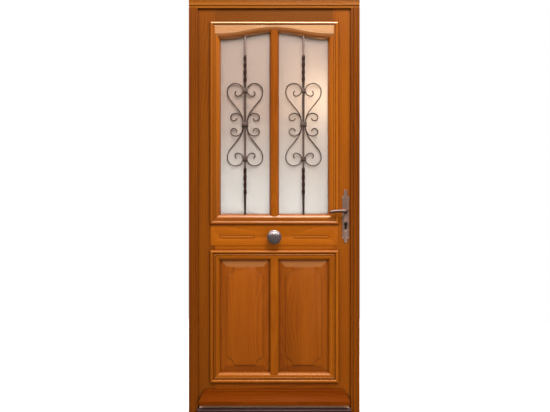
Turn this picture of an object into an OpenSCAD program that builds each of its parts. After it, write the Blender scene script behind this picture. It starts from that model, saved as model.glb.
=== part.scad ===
// Half-glazed wooden entrance door in its frame: one inward-opening leaf with an arched glazed
// head, two wrought-iron grilles, two raised panels, a pull knob and a mortise lock with levers.
// X runs across the door, -Y faces outside, +Z is up. The origin lies on the floor at mid-width
// and mid-depth of the frame.

/* [Overall] */
// Width over the frame
door_w = 900; // [760:5:1100]
// Height over the frame
door_h = 2180; // [2040:5:2300]
// Depth of the frame, outside to inside
frame_d = 74; // [70:1:90]
// Thickness of the leaf
leaf_t = 56; // [50:1:62]

/* [Frame] */
// Width of the frame's face
frame_w = 46; // [42:1:60]
// How far the frame's stop laps over the leaf
stop_lap = 12; // [10:1:16]
// Gap between the leaf and the frame
leaf_gap = 4; // [3:0.5:5]
// Height of the threshold plate
sill_h = 25; // [20:1:30]
// Height of the lip on the threshold
lip_h = 15; // [12:1:18]

/* [Mouldings] */
// Width of the mouldings round the openings
mould_w = 55; // [50:1:62]
// Width of the stile seen between the frame and the moulding
stile_show = 64.5; // [58:0.5:75]
// Radius of the ovolo that leads down to the glass and the panels
ovolo_r = 26; // [20:1:28]
// Radius of the outer nose
nose_r = 8; // [6:0.5:9]

/* [Heights] */
// Bottom of the lower moulding
low_z = 156; // [140:1:180]
// Top of the lower moulding
low_top_z = 856; // [800:1:880]
// Bottom of the upper moulding
up_z = 993; // [970:1:1010]
// Top of the upper moulding, measured down from the frame's top
up_top_drop = 117; // [105:1:130]
// Top corner of the glass, measured down from the frame's top
glass_drop = 209; // [190:1:230]
// Rise of the arched head at mid-width
arch_rise = 36; // [20:1:48]
// Centre of the pull knob
knob_z = 926; // [905:1:945]
// Axis of the levers
lever_z = 1063; // [1050:1:1080]

/* [Glass and grilles] */
// Thickness of the sealed glazing unit
unit_t = 24; // [20:1:28]
// Thickness of each pane
pane_t = 4; // [4:1:6]
// Width of the upper muntin's face
muntin_w = 50; // [44:1:60]
// Side of the grille's square bar
bar_w = 10; // [8:1:12]
// Thickness of the scroll bar, seen on edge
scroll_t = 6; // [4:0.5:7]

/* [Hardware] */
// Distance from the leaf's edge to the lever axis
backset = 38; // [36:1:45]
// Distance from the lever axis down to the cylinder
lever_to_cylinder = 70; // [70:1:72]
// Side of the square spindle
spindle_w = 7; // [7:1:8]
// Travel of the latch bolt
latch_throw = 12; // [10:1:13]
// Travel of the dead bolt
dead_throw = 20; // [15:1:20]
// Diameter of the pull knob
knob_d = 76; // [66:1:84]
// Radius of the hinge knuckles
knuckle_r = 7.5; // [6.5:0.5:8]
// Radius of the hinge pins
pin_r = 4.5; // [4:0.25:5]
// Radial running clearance of everything that turns
run_fit = 0.06; // [0.03:0.01:0.08]

/* [Hidden] */
$fn = 48;

wood = "#a8560c";
wood_dark = "#7d3a08";
iron = "#3a332f";
brass = "#b08d57";
steel = "#9a9a9c";
plate_grey = "#85685a";
bronze = "#4a3434";
rubber = "#2b2220";

// Levels through the door's depth
y_face = -frame_d / 2;
y_in = frame_d / 2;
y_leaf = y_in - leaf_t;
stop_gap = 1;
y_stop = y_leaf - stop_gap;
glass_in = 15;
y_glass = y_leaf + glass_in;
y_bead = y_glass + unit_t;
face_up = 9;

// Frame and leaf outlines
half_w = door_w / 2;
stop_x = half_w - frame_w;
stop_z = door_h - frame_w;
rebate = stop_lap + leaf_gap;
rebate_x = stop_x + rebate;
rebate_z = stop_z + rebate;
leaf_x = stop_x + stop_lap;
leaf_top = stop_z + stop_lap;
leaf_z = sill_h + 6;
leaf_y = y_leaf + leaf_t / 2;

// Openings: the sight edge of the glass and panels, and the rebate behind the mouldings
out_x = stop_x - stile_show;
open_x = out_x - mould_w;
tongue = ovolo_r + 2;
cut_x = open_x + tongue;
low_0 = low_z + mould_w;
low_1 = low_top_z - mould_w;
up_0 = up_z + mould_w;
up_top = door_h - up_top_drop;
glass_side = door_h - glass_drop;
low_muntin_w = muntin_w + 2;
tenon_l = 32;
tenon_t = 16;

// Lock geometry
lock_x = leaf_x - backset;
cyl_z = lever_z - lever_to_cylinder;
plate_t = 3;
case_t = 16;
case_wall = 2;
case_x0 = lock_x - 26;
case_z0 = cyl_z - 43;
case_z1 = lever_z + 57;
strip_t = 3;
latch_z = lever_z + 20;
dead_z = cyl_z + 30;
bolt_w = 12;
pocket_d = 12;

// Hinge geometry
hinge_x = -(leaf_x + leaf_gap / 2);
hinge_y = y_in + knuckle_r + 1.5;
hinge_h = 110;
flap_t = 3;
flap_w = 34;
hinge_zs = [280, door_h / 2, door_h - 280];
washer_t = 3;

fix_r = 4;
fix_y = y_in - 14;
fix_zs = [180, door_h / 2 + 120, door_h - 180];

// Height of the arched head above the floor
function arch(x) = glass_side + arch_rise * (1 + cos(180 * x / open_x)) / 2;
function arch_slope(x) = -arch_rise * PI / open_x * sin(180 * x / open_x) / 2;
// The arched head moved outwards by u, square to the curve
function arch_out(x, u) = [x, arch(x)] + u * [-arch_slope(x), 1] / norm([1, arch_slope(x)]);
arch_xs = [for (i = [-12:12]) open_x * i / 12];

// ---------- tools ----------

// A prism through the door's depth over an outline in the X-Z plane
module prism(points) {
    rotate([90, 0, 0]) linear_extrude(400, center = true) polygon(points);
}

// A slab over an outline in the X-Z plane, between two depths
module slab(y0, y1) {
    translate([0, y1, 0]) rotate([90, 0, 0]) linear_extrude(y1 - y0) children();
}

module box(x0, x1, y0, y1, z0, z1) {
    translate([x0, y0, z0]) cube([x1 - x0, y1 - y0, z1 - z0]);
}

// One mitred side of a four-sided surround: 0 bottom, 1 right, 2 top, 3 left.
// The child is the section, with x measured outwards from the opening.
module side(k, x0, x1, z0, z1, w) {
    long = k % 2 == 0 ? (x1 - x0) / 2 : (z1 - z0) / 2;
    reach = k % 2 == 0 ? (z1 - z0) / 2 : (x1 - x0) / 2;
    translate([(x0 + x1) / 2, 0, (z0 + z1) / 2]) rotate([0, -90 * k, 0]) intersection() {
        translate([0, 0, -reach]) mirror([0, 0, 1]) rotate([0, -90, 0])
            linear_extrude(2 * (long + w), center = true) children();
        prism([[-long, -reach], [long, -reach], [long + w, -reach - w], [-long - w, -reach - w]]);
    }
}

// A horizontal run along X of a section whose x points up
module run_x(length) {
    rotate([0, -90, 0]) linear_extrude(length, center = true) children();
}

// A countersunk wood screw lying along -X, its head flush with the origin
module screw(length = 22) {
    rotate([0, -90, 0]) {
        cylinder(h = 2.4, r1 = 4, r2 = 2);
        translate([0, 0, 2.4]) cylinder(h = length - 2.4, r = 2);
    }
}

// ---------- sections ----------

// The frame's section: x from the outer edge inwards, a bead, a torus and a lower return
module frame_section() {
    torus_r = 5;
    bead_r = 2.5;
    groove_r = 1.5;
    torus_u = frame_w - 17;
    difference() {
        union() {
            translate([0, y_face]) square([7.5, 10]);
            translate([0, y_face + 1]) square([torus_u, y_in - y_face - 1]);
            translate([0, y_face + torus_r]) square([frame_w, y_stop - y_face - torus_r]);
            translate([torus_u, y_face + torus_r]) circle(torus_r);
            translate([12.5, y_face + bead_r]) circle(bead_r);
        }
        translate([9, y_face]) circle(groove_r);
        translate([16, y_face]) circle(groove_r);
        translate([frame_w - rebate, y_stop]) square([rebate, 200]);
        translate([frame_w - 9, y_stop - 6]) square([4, 20]);
    }
}

// The bolection moulding: an ovolo down to the glass, a fillet and a round outer nose
module bolection(second_bead) {
    intersection() {
        translate([ovolo_r, y_leaf + glass_in]) circle(ovolo_r);
        translate([0, y_leaf - 40]) square([ovolo_r, 40 + glass_in]);
    }
    translate([ovolo_r - 0.01, y_leaf - face_up])
        square([tongue - ovolo_r + 0.01, face_up + glass_in]);
    translate([ovolo_r, y_leaf - face_up]) square([mould_w - nose_r - ovolo_r, face_up]);
    translate([mould_w - 2 * nose_r, y_leaf - nose_r]) square([2 * nose_r, nose_r]);
    translate([mould_w - nose_r, y_leaf - nose_r]) circle(nose_r);
    if (second_bead) {
        translate([ovolo_r + 4, y_leaf - face_up]) circle(3);
    }
}

// A bead that holds glass or panel from inside, chamfered towards the opening
module bead_section(w) {
    chamfer = 6;
    polygon([[0, y_bead], [w, y_bead], [w, y_in], [chamfer, y_in], [0, y_in - chamfer]]);
}

// ---------- frame ----------

module hinge_screws(at_leaf) {
    for (z = hinge_zs) {
        for (dz = [-38, 0, 38]) {
            translate([hinge_x, y_in - flap_w / 2, z + dz]) {
                if (at_leaf) {
                    mirror([1, 0, 0]) translate([-leaf_gap / 2, 0, 0]) screw();
                } else {
                    translate([-leaf_gap / 2, 0, 0]) screw();
                }
            }
        }
    }
}

// Holes across a jamb for the bolts that fix the frame to a wall
module fixing_holes(s) {
    for (z = fix_zs) {
        translate([s * half_w, fix_y, z]) rotate([0, 90, 0]) cylinder(h = 120, r = fix_r, center = true);
    }
}

module jamb_blank() {
    translate([-half_w, 0, 0]) {
        linear_extrude(stop_z) frame_section();
        box(0, frame_w - rebate, y_stop, y_in, stop_z - 1, rebate_z);
    }
}

module jamb_hinge_side() {
    color(wood) difference() {
        jamb_blank();
        for (z = hinge_zs) {
            box(-rebate_x - flap_t, -rebate_x + 1, y_in - flap_w, y_in + 1,
                z - hinge_h / 2, z + hinge_h / 2);
        }
        hinge_screws(false);
        fixing_holes(-1);
    }
}

strike_z0 = dead_z - 30;
strike_z1 = latch_z + 32;
module strike_screws() {
    for (z = [strike_z0 + 9, strike_z1 - 9]) {
        translate([rebate_x, leaf_y, z]) mirror([1, 0, 0]) screw();
    }
}

module jamb_lock_side() {
    color(wood) difference() {
        mirror([1, 0, 0]) jamb_blank();
        box(rebate_x - 1, rebate_x + strip_t, leaf_y - 12, leaf_y + 12, strike_z0, strike_z1);
        box(rebate_x - 1, rebate_x + strip_t + pocket_d, leaf_y - 8, leaf_y + 8,
            latch_z - 13, latch_z + 13);
        box(rebate_x - 1, rebate_x + strip_t + dead_throw, leaf_y - 8, leaf_y + 8,
            dead_z - 13, dead_z + 13);
        strike_screws();
        fixing_holes(1);
    }
}

module head() {
    color(wood) translate([0, 0, door_h]) mirror([0, 0, 1]) run_x(door_w) frame_section();
}

module threshold() {
    nose = 10;
    color(bronze) intersection() {
        rotate([90, 0, 90]) linear_extrude(door_w, center = true)
            polygon([[y_face - nose, 0], [y_in, 0], [y_in, sill_h], [y_stop - 14, sill_h],
                [y_face - nose, sill_h - 9]]);
        union() {
            box(-stop_x, stop_x, y_face - nose, y_stop, 0, sill_h);
            box(-rebate_x, rebate_x, y_stop, y_in, 0, sill_h);
        }
    }
}

lip_t = 4;
lip_x = stop_x - 9;
module threshold_lip() {
    color(steel) {
        box(-lip_x, lip_x, y_stop - lip_t, y_stop, sill_h, sill_h + lip_h);
        box(-lip_x, lip_x, y_stop - lip_t - 7, y_stop - lip_t, sill_h, sill_h + 2);
    }
}

seal_gap = 0.4;
module frame_seal() {
    u0 = frame_w - 9;
    module strip() {
        translate([u0, y_stop - 6]) square([4, 6]);
        translate([u0 - 1, y_stop]) square([6, stop_gap - seal_gap]);
    }
    color(rubber) {
        for (s = [0, 1]) {
            mirror([s, 0, 0]) translate([-half_w, 0, sill_h]) linear_extrude(stop_z - sill_h) strip();
        }
        translate([0, 0, door_h]) mirror([0, 0, 1]) run_x(2 * (half_w - u0 + 1)) strip();
    }
}

module strike_plate() {
    color(steel) difference() {
        box(rebate_x, rebate_x + strip_t, leaf_y - 12, leaf_y + 12, strike_z0, strike_z1);
        for (z = [latch_z, dead_z]) {
            box(rebate_x - 1, rebate_x + strip_t + 1, leaf_y - 8, leaf_y + 8, z - 13, z + 13);
        }
        strike_screws();
    }
}

module frame_screws() {
    color(steel) {
        hinge_screws(false);
        strike_screws();
    }
}

// ---------- hinges ----------

// The flap let into the wood, its neck and its half of the knuckle.
// s is -1 for the frame's lower half and 1 for the leaf's upper half.
module hinge_flap(i, s) {
    z = hinge_zs[i];
    x0 = s < 0 ? -rebate_x - flap_t : -leaf_x;
    half = hinge_h / 2;
    k0 = washer_t / 2 + (s > 0 ? 0.2 : 0);
    lo = s < 0 ? -half : k0;
    hi = s < 0 ? -k0 : half;
    color(brass) difference() {
        union() {
            box(x0, x0 + flap_t, y_in - flap_w, y_in, z - half, z + half);
            box(x0, x0 + flap_t, y_in - 1, hinge_y, z + lo, z + hi);
            translate([hinge_x, hinge_y, z + lo]) cylinder(h = hi - lo, r = knuckle_r);
        }
        translate([hinge_x, hinge_y, z - half + 5])
            cylinder(h = hinge_h - 10, r = s < 0 ? pin_r : pin_r + run_fit);
        hinge_screws(s > 0);
    }
}

module hinge_frame_flap_bottom() { hinge_flap(0, -1); }
module hinge_frame_flap_middle() { hinge_flap(1, -1); }
module hinge_frame_flap_top() { hinge_flap(2, -1); }
module hinge_leaf_flap_bottom() { hinge_flap(0, 1); }
module hinge_leaf_flap_middle() { hinge_flap(1, 1); }
module hinge_leaf_flap_top() { hinge_flap(2, 1); }

module hinge_pins() {
    color(steel) for (z = hinge_zs) {
        translate([hinge_x, hinge_y, z - hinge_h / 2 + 5]) cylinder(h = hinge_h - 11, r = pin_r);
    }
}

module hinge_washers() {
    color(brass) for (z = hinge_zs) {
        translate([hinge_x, hinge_y, z]) difference() {
            cylinder(h = washer_t, r = knuckle_r + 0.8, center = true);
            cylinder(h = 10, r = pin_r, center = true);
        }
    }
}

// ---------- leaf: stiles, rails, muntins ----------

rails_z = [[leaf_z, low_z + mould_w - tongue], [low_top_z - mould_w + tongue, up_0 - tongue],
    [up_top - mould_w + tongue, leaf_top]];

// Stub tenons on the rails' ends, which the stiles' mortises take
module tenons(s) {
    for (r = rails_z) {
        box(s > 0 ? cut_x - 1 : -cut_x - tenon_l, s > 0 ? cut_x + tenon_l : -cut_x + 1,
            leaf_y - tenon_t / 2, leaf_y + tenon_t / 2, r[0] + 18, r[1] - 18);
    }
}

module stile(s) {
    difference() {
        box(s > 0 ? cut_x : -leaf_x, s > 0 ? leaf_x : -cut_x, y_leaf, y_in, leaf_z, leaf_top);
        tenons(s);
    }
}

module stile_hinge_side() {
    color(wood) difference() {
        stile(-1);
        for (z = hinge_zs) {
            box(-leaf_x - 1, -leaf_x + flap_t, y_in - flap_w, y_in + 1,
                z - hinge_h / 2, z + hinge_h / 2);
        }
        hinge_screws(true);
    }
}

module faceplate_screws() {
    for (z = [case_z0 - 10, case_z1 + 10]) {
        translate([leaf_x, leaf_y, z]) screw();
    }
}

// The euro cylinder's outline, with its round part at the origin
module euro_outline(grow = 0) {
    circle(8.5 + grow);
    translate([-5 - grow, -24.5 - grow]) square([10 + 2 * grow, 24.5]);
}

module euro_hole(y0, y1, grow) {
    translate([lock_x, 0, cyl_z]) slab(y0, y1) euro_outline(grow);
}

module bore_y(x, z, r, y0, y1) {
    translate([x, y0, z]) rotate([-90, 0, 0]) cylinder(h = y1 - y0, r = r);
}

module handle_screw_shanks(y0, y1) {
    for (z = plate_screw_zs) {
        bore_y(lock_x, z, 2, y0, y1);
    }
}

module stile_lock_side() {
    color(wood) difference() {
        stile(1);
        box(case_x0, leaf_x + 1, leaf_y - case_t / 2, leaf_y + case_t / 2, case_z0, case_z1);
        box(leaf_x - strip_t, leaf_x + 1, leaf_y - 11, leaf_y + 11, case_z0 - 20, case_z1 + 20);
        bore_y(lock_x, lever_z, 10.5, y_leaf - 1, y_in + 1);
        euro_hole(y_leaf - 1, y_in + 1, 1);
        faceplate_screws();
        handle_screw_shanks(y_leaf - 1, y_leaf + 18);
        handle_screw_shanks(y_in - 18, y_in + 1);
    }
}

module rail(i) {
    intersection() {
        union() {
            box(-cut_x, cut_x, y_leaf, y_in, rails_z[i][0], rails_z[i][1]);
            tenons(-1);
            tenons(1);
        }
        box(-leaf_x, leaf_x, y_leaf, y_in, rails_z[i][0], rails_z[i][1]);
    }
}

module top_rail() { color(wood) rail(2); }

// The lock rail: a raised face, two fluted slots with a bead left in each, two peg holes
raise_t = 3;
module lock_rail() {
    face_x = out_x - 3;
    flute_z = knob_z - 1;
    module flute(grow) {
        translate([110 - grow, flute_z]) circle(5 + grow, $fn = 32);
        translate([110 - grow, flute_z - 5 - grow]) square([out_x - 160 + 2 * grow, 10 + 2 * grow]);
        translate([out_x - 50 + grow, flute_z]) circle(5 + grow, $fn = 32);
    }
    color(wood) difference() {
        union() {
            rail(1);
            box(-face_x, face_x, y_leaf - raise_t, y_leaf, low_top_z + 24, up_z);
        }
        for (s = [0, 1]) {
            mirror([s, 0, 0]) slab(y_leaf - raise_t - 1, y_leaf - raise_t + 2) difference() {
                flute(2.5);
                flute(0);
            }
            bore_y((s * 2 - 1) * 190, knob_z + 44, 2.5, y_leaf - 10, y_leaf + 5);
        }
        bore_y(0, knob_z, 4, y_leaf - 10, y_in + 1);
    }
}

module bottom_rail() {
    color(wood) rail(0);
}

// A muntin's moulded front with feet mitred into the surround, and its core behind
module muntin(w, flat, z0, z1, foot_top, core_z0, core_z1) {
    h = w / 2;
    f = flat / 2;
    core = h - glass_in - 2;
    color(wood) {
        intersection() {
            translate([0, 0, z0 - 40]) linear_extrude(z1 - z0 + 80)
                polygon([[-h, y_glass], [h, y_glass], [h, y_leaf + 8], [f, y_leaf - face_up],
                    [-f, y_leaf - face_up], [-h, y_leaf + 8]]);
            prism([[-h, z0], [-f, z0 - h + f], [f, z0 - h + f], [h, z0], [h, z1],
                [f, foot_top], [-f, foot_top], [-h, z1]]);
        }
        box(-core, core, y_glass, y_in, core_z0, core_z1);
    }
}

up_flat = 20;
low_flat = 34;
module muntin_upper() {
    muntin(muntin_w, up_flat, up_0, arch(muntin_w / 2), arch(0) + (muntin_w - up_flat) / 2,
        rails_z[1][1], rails_z[2][0]);
}

module muntin_lower() {
    foot = (low_muntin_w - low_flat) / 2;
    muntin(low_muntin_w, low_flat, low_0, low_1, low_1 + foot, rails_z[0][1], rails_z[1][0]);
}

// The places that a muntin's feet take out of the surround
module foot_cut(w, flat, z0, z1, foot_top) {
    h = w / 2;
    f = flat / 2;
    prism([[-h, z0], [-f, z0 - h + f], [f, z0 - h + f], [h, z0]]);
    prism([[-h, z1], [h, z1], [f, foot_top], [-f, foot_top]]);
}

// ---------- panels ----------

panel_in = 12;
module panel(s) {
    x0 = low_muntin_w / 2;
    x1 = open_x;
    bevel = 35;
    clip_x = 40;
    clip_z = 60;
    field_z0 = low_0 + bevel;
    field_z1 = low_1 - bevel;
    fx0 = x0 + bevel;
    fx1 = x1 - bevel;
    y_edge = y_glass - 2;
    y_field = y_leaf + 4;
    color(wood) mirror([s, 0, 0]) {
        box(x0 - panel_in, x1 + panel_in, y_glass, y_bead, low_0 - panel_in, low_1 + panel_in);
        hull() {
            box(x0 + 0.2, x1 - 0.2, y_edge, y_glass + 1, low_0 + 0.2, low_1 - 0.2);
            box(fx0, fx1, y_field, y_glass + 1, field_z0, field_z1);
        }
        slab(y_field - 2, y_field) difference() {
            polygon([[fx0 + clip_x, field_z0], [fx1 - clip_x, field_z0], [fx1, field_z0 + clip_z],
                [fx1, field_z1 - clip_z], [fx1 - clip_x, field_z1], [fx0 + clip_x, field_z1],
                [fx0, field_z1 - clip_z], [fx0, field_z0 + clip_z]]);
            for (x = [fx0, fx1], z = [field_z0, field_z1]) {
                translate([x, z]) circle(clip_x * 0.9);
            }
        }
    }
}

module panel_left() { panel(1); }
module panel_right() { panel(0); }

// ---------- glazing ----------

edge_cover = 12;
unit_z0 = up_0 - edge_cover;
unit_z1 = arch(0) + edge_cover;
unit_x0 = muntin_w / 2 - edge_cover;
unit_x1 = open_x + edge_cover;

module glass(s) {
    color("#e6ded6", 0.8) mirror([s, 0, 0]) {
        box(unit_x0, unit_x1, y_glass, y_glass + pane_t, unit_z0, unit_z1);
        box(unit_x0, unit_x1, y_bead - pane_t, y_bead, unit_z0, unit_z1);
    }
}

module glass_left() { glass(1); }
module glass_right() { glass(0); }

module glass_spacers() {
    w = 7;
    color(steel) for (s = [0, 1]) {
        mirror([s, 0, 0]) difference() {
            box(unit_x0, unit_x1, y_glass + pane_t, y_bead - pane_t, unit_z0, unit_z1);
            box(unit_x0 + w, unit_x1 - w, y_glass, y_bead, unit_z0 + w, unit_z1 - w);
        }
    }
}

// ---------- mouldings ----------

// Sockets in the surround for the ends of the grilles' bars
socket_d = 8;
pane_mid = (muntin_w / 2 + open_x) / 2;
y_grille = y_glass - bar_w / 2 - 4;
module grille_sockets() {
    for (s = [-1, 1]) {
        box(s * pane_mid - bar_w / 2, s * pane_mid + bar_w / 2, y_grille - bar_w / 2,
            y_grille + bar_w / 2, up_0 - socket_d, arch(pane_mid) + socket_d);
    }
}

module upper_foot_cut() {
    foot_cut(muntin_w, up_flat, up_0, arch(muntin_w / 2), arch(0) + (muntin_w - up_flat) / 2);
}

module moulding_upper_bottom() {
    color(wood) difference() {
        side(0, -open_x, open_x, up_0, glass_side, mould_w) bolection(false);
        upper_foot_cut();
        grille_sockets();
    }
}

// The mitre of the upright sides with the arched board: the nose at 45 degrees, then straight
// down beside the board's flat face, then the ovolo at 45 degrees
corner = [[open_x, glass_side], [open_x + ovolo_r, glass_side + ovolo_r],
    [open_x + ovolo_r, up_top - mould_w + ovolo_r], [out_x, up_top]];

module moulding_upper_side() {
    color(wood) intersection() {
        translate([open_x, 0, up_z]) linear_extrude(up_top - up_z) bolection(false);
        prism([[open_x, up_0], [out_x, up_z], corner[3], corner[2], corner[1], corner[0]]);
    }
}

module moulding_upper_left() { mirror([1, 0, 0]) moulding_upper_side(); }
module moulding_upper_right() { moulding_upper_side(); }

// The ovolo swept along the arch, mitred at both ends
module arch_ovolo() {
    overlap = 3;
    section = concat([[0, glass_in], [0, glass_in - 1]],
        [for (a = [15:15:90]) [ovolo_r * (1 - cos(a)), glass_in - ovolo_r * sin(a)]],
        [[ovolo_r + overlap, glass_in - ovolo_r], [ovolo_r + overlap, glass_in]]);
    n = len(section);
    rings = concat(
        [[for (p = section) [-open_x - min(p[0], ovolo_r), glass_side + p[0], p[1]]]],
        [for (x = arch_xs) [for (p = section) [each arch_out(x, p[0]), p[1]]]],
        [[for (p = section) [open_x + min(p[0], ovolo_r), glass_side + p[0], p[1]]]]);
    points = [for (r = rings) for (p = r) [p[0], y_leaf + p[2], p[1]]];
    last = len(rings) - 1;
    faces = concat([[for (i = [n - 1:-1:0]) i]],
        [for (j = [0:last - 1], i = [0:n - 1])
            each [[j * n + i, j * n + (i + 1) % n, (j + 1) * n + i],
                [j * n + (i + 1) % n, (j + 1) * n + (i + 1) % n, (j + 1) * n + i]]],
        [[for (i = [0:n - 1]) last * n + i]]);
    polyhedron(points, faces);
}

module arch_board(y0, y1, u, x_end, z_end) {
    low = [for (x = arch_xs) arch_out(x, u)];
    slab(y0, y1) polygon(concat([[-x_end, z_end], [-x_end, glass_side + u]], low,
        [[x_end, glass_side + u], [x_end, z_end]]));
}

module moulding_upper_top() {
    color(wood) difference() {
        union() {
            arch_ovolo();
            arch_board(y_leaf - face_up, y_glass, ovolo_r, open_x + ovolo_r, up_top - mould_w + tongue);
            intersection() {
                translate([0, 0, up_top - mould_w]) run_x(door_w) bolection(false);
                prism([[-out_x, up_top], [out_x, up_top], corner[2], [-corner[2][0], corner[2][1]]]);
            }
        }
        upper_foot_cut();
        grille_sockets();
    }
}

module lower_side(k) {
    color(wood) difference() {
        side(k, -open_x, open_x, low_0, low_1, mould_w) bolection(true);
        foot_cut(low_muntin_w, low_flat, low_0, low_1, low_1 + (low_muntin_w - low_flat) / 2);
    }
}

module moulding_lower_bottom() { lower_side(0); }
module moulding_lower_right() { lower_side(1); }
module moulding_lower_top() { lower_side(2); }
module moulding_lower_left() { lower_side(3); }

module inside_beads_upper() {
    x0 = muntin_w / 2;
    w = muntin_w / 2 - (muntin_w / 2 - glass_in - 2);
    top = up_top - mould_w + tongue;
    color(wood) for (s = [0, 1]) {
        mirror([s, 0, 0]) {
            box(x0 - w, cut_x, y_bead, y_in, up_0 - tongue, up_0);
            translate([x0, 0, up_0]) mirror([1, 0, 0]) linear_extrude(top - up_0) bead_section(w);
            translate([open_x, 0, up_0]) linear_extrude(glass_side - up_0) bead_section(tongue);
            intersection() {
                arch_board(y_bead, y_in, 0, cut_x, top);
                box(x0 - w, cut_x, y_bead, y_in, glass_side, top);
            }
        }
    }
}

module inside_beads_lower() {
    x0 = low_muntin_w / 2;
    w = glass_in + 2;
    color(wood) for (s = [0, 1]) {
        mirror([s, 0, 0]) {
            box(x0 - w, cut_x, y_bead, y_in, low_0 - tongue, low_0);
            box(x0 - w, cut_x, y_bead, y_in, low_1, low_1 + tongue);
            translate([x0, 0, low_0]) mirror([1, 0, 0]) linear_extrude(low_1 - low_0) bead_section(w);
            translate([open_x, 0, low_0]) linear_extrude(low_1 - low_0) bead_section(tongue);
        }
    }
}

// ---------- weather bar and bottom seal ----------

bar_x = stop_x - 7;
module weather_bar() {
    top = low_z - 35;
    bottom = sill_h + lip_h + 3;
    deep = 36;
    ends = 33;
    color(wood) intersection() {
        rotate([90, 0, 90]) linear_extrude(door_w, center = true) difference() {
            polygon([[y_leaf, bottom], [y_leaf - deep, bottom], [y_leaf - deep, bottom + 22],
                [y_leaf - 24, bottom + 40], [y_leaf - 14, top - 7], [y_leaf - 14, top], [y_leaf, top]]);
            translate([y_leaf - deep - 2, bottom + 46]) circle(14);
            translate([y_leaf - 22, bottom]) circle(4);
        }
        prism([[-bar_x, bottom], [bar_x, bottom], [bar_x, bottom + 22], [bar_x - ends, top],
            [-bar_x + ends, top], [-bar_x, bottom + 22]]);
    }
}

module bottom_seal() {
    color(rubber) box(-leaf_x + 8, leaf_x - 8, leaf_y - 6, leaf_y + 6, sill_h + 0.5, leaf_z);
}

// ---------- grilles ----------

// The scrolls' sizes follow the pane
pane_half = (open_x - muntin_w / 2) / 2;
grille_sx = pane_half / 129.75;
grille_sz = (glass_side - up_0) / 923;
grille_mid = up_0 + 473 * grille_sz;
large_eye = [48, 176];
small_eye = [55, 40];
large_radius = [[-40, 50], [0, 44], [90, 42], [180, 37], [250, 30], [290, 16], [330, 9]];
small_radius = [[-155, 12], [-100, 15], [-57, 22], [0, 20], [90, 21], [123, 24], [150, 29]];

function bend(a, b, c, t) = (1 - t) * (1 - t) * a + 2 * t * (1 - t) * b + t * t * c;
function on_spiral(eye, table, a) = eye + lookup(a, table) * [cos(a), sin(a)];
large_scroll = concat(
    [for (t = [0:0.2:0.8]) bend([9, 6], [17, 50], on_spiral(large_eye, large_radius, -40), t)],
    [for (a = [-40:18:330]) on_spiral(large_eye, large_radius, a)]);
small_scroll = concat(
    [for (t = [0:0.25:0.75]) bend([10, 8], [14, 38], on_spiral(small_eye, small_radius, 150), t)],
    [for (a = [150:-18:-155]) on_spiral(small_eye, small_radius, a)]);

// A path as a flat outline of even width
function heading(p, i) =
    let (d = p[min(i + 1, len(p) - 1)] - p[max(i - 1, 0)]) [-d[1], d[0]] / norm(d);
function ribbon(p, w) = concat(
    [for (i = [0:len(p) - 1]) p[i] + heading(p, i) * w / 2],
    [for (i = [len(p) - 1:-1:0]) p[i] - heading(p, i) * w / 2]);
function fitted(p) = [for (q = p) [q[0] * grille_sx, q[1] * grille_sz]];

twist_l = 150 * grille_sz;
twist_lap = 1;
twist_z = [grille_mid + 296 * grille_sz, grille_mid - 300 * grille_sz];

module grille(s) {
    b0 = y_grille - bar_w / 2;
    b1 = y_grille + bar_w / 2;
    collars = [[0, 35, 26], [179, 25, 22], [-182, 28, 26]];
    color(iron) translate([s * pane_mid, 0, 0]) {
        difference() {
            box(-bar_w / 2, bar_w / 2, b0, b1, up_0 - socket_d, arch(pane_mid) + socket_d);
            for (z = twist_z) {
                box(-20, 20, b0 - 1, b1 + 1, z - twist_l / 2 + twist_lap,
                    z + twist_l / 2 - twist_lap);
            }
        }
        for (z = twist_z) {
            translate([0, y_grille, z]) linear_extrude(twist_l, center = true, twist = 360, slices = 24,
                segments = 4) square(bar_w, center = true);
        }
        for (c = collars) {
            translate([0, y_grille, grille_mid + c[0] * grille_sz])
                cube([c[1], bar_w + 6, c[2]], center = true);
        }
        translate([0, 0, grille_mid]) for (mx = [0, 1], mz = [0, 1]) {
            mirror([mx, 0, 0]) mirror([0, 0, mz]) {
                slab(b0 + 1, b1 - 1) polygon(ribbon(fitted(large_scroll), scroll_t));
                slab(b0 + 1, b1 - 1) polygon(ribbon(fitted(small_scroll), scroll_t));
            }
        }
    }
}

module grille_left() { grille(-1); }
module grille_right() { grille(1); }

// ---------- knob ----------

y_rail_face = y_leaf - raise_t;
rose_t = 5;
module turned_y(z, y) {
    translate([0, y, z]) rotate([90, 0, 0]) rotate_extrude($fn = 64) children();
}

// The hollow-necked pull knob: a domed head on a waisted neck
module pull_knob() {
    r = knob_d / 2;
    head_0 = 26;
    dome = 17;
    dome_r = (r * r + dome * dome) / (2 * dome);
    color("#6b5f5c") difference() {
        turned_y(knob_z, y_rail_face - rose_t) union() {
            difference() {
                square([26, head_0 + 1]);
                translate([26 + 2, 12]) circle(16);
            }
            polygon([[0, head_0], [22, head_0], [r, head_0 + 7], [r, head_0 + 11], [0, head_0 + 11]]);
            intersection() {
                translate([0, head_0 + 11 + dome - dome_r]) circle(dome_r, $fn = 128);
                translate([0, head_0 + 10]) square([r - 1, dome + 1]);
            }
        }
        bore_y(0, knob_z, 4, y_rail_face - rose_t - 22, y_rail_face);
    }
}

module knob_rose() {
    color("#3b2c2a") difference() {
        turned_y(knob_z, y_rail_face) polygon([[0, 0], [31, 0], [31, 2], [27, rose_t], [0, rose_t]]);
        bore_y(0, knob_z, 4, y_rail_face - 20, y_rail_face + 1);
    }
}

module knob_bolt() {
    color(brass) {
        bore_y(0, knob_z, 4, y_rail_face - rose_t - 22, y_in);
        bore_y(0, knob_z, 12, y_in, y_in + 4);
    }
}

// ---------- lock ----------

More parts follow.
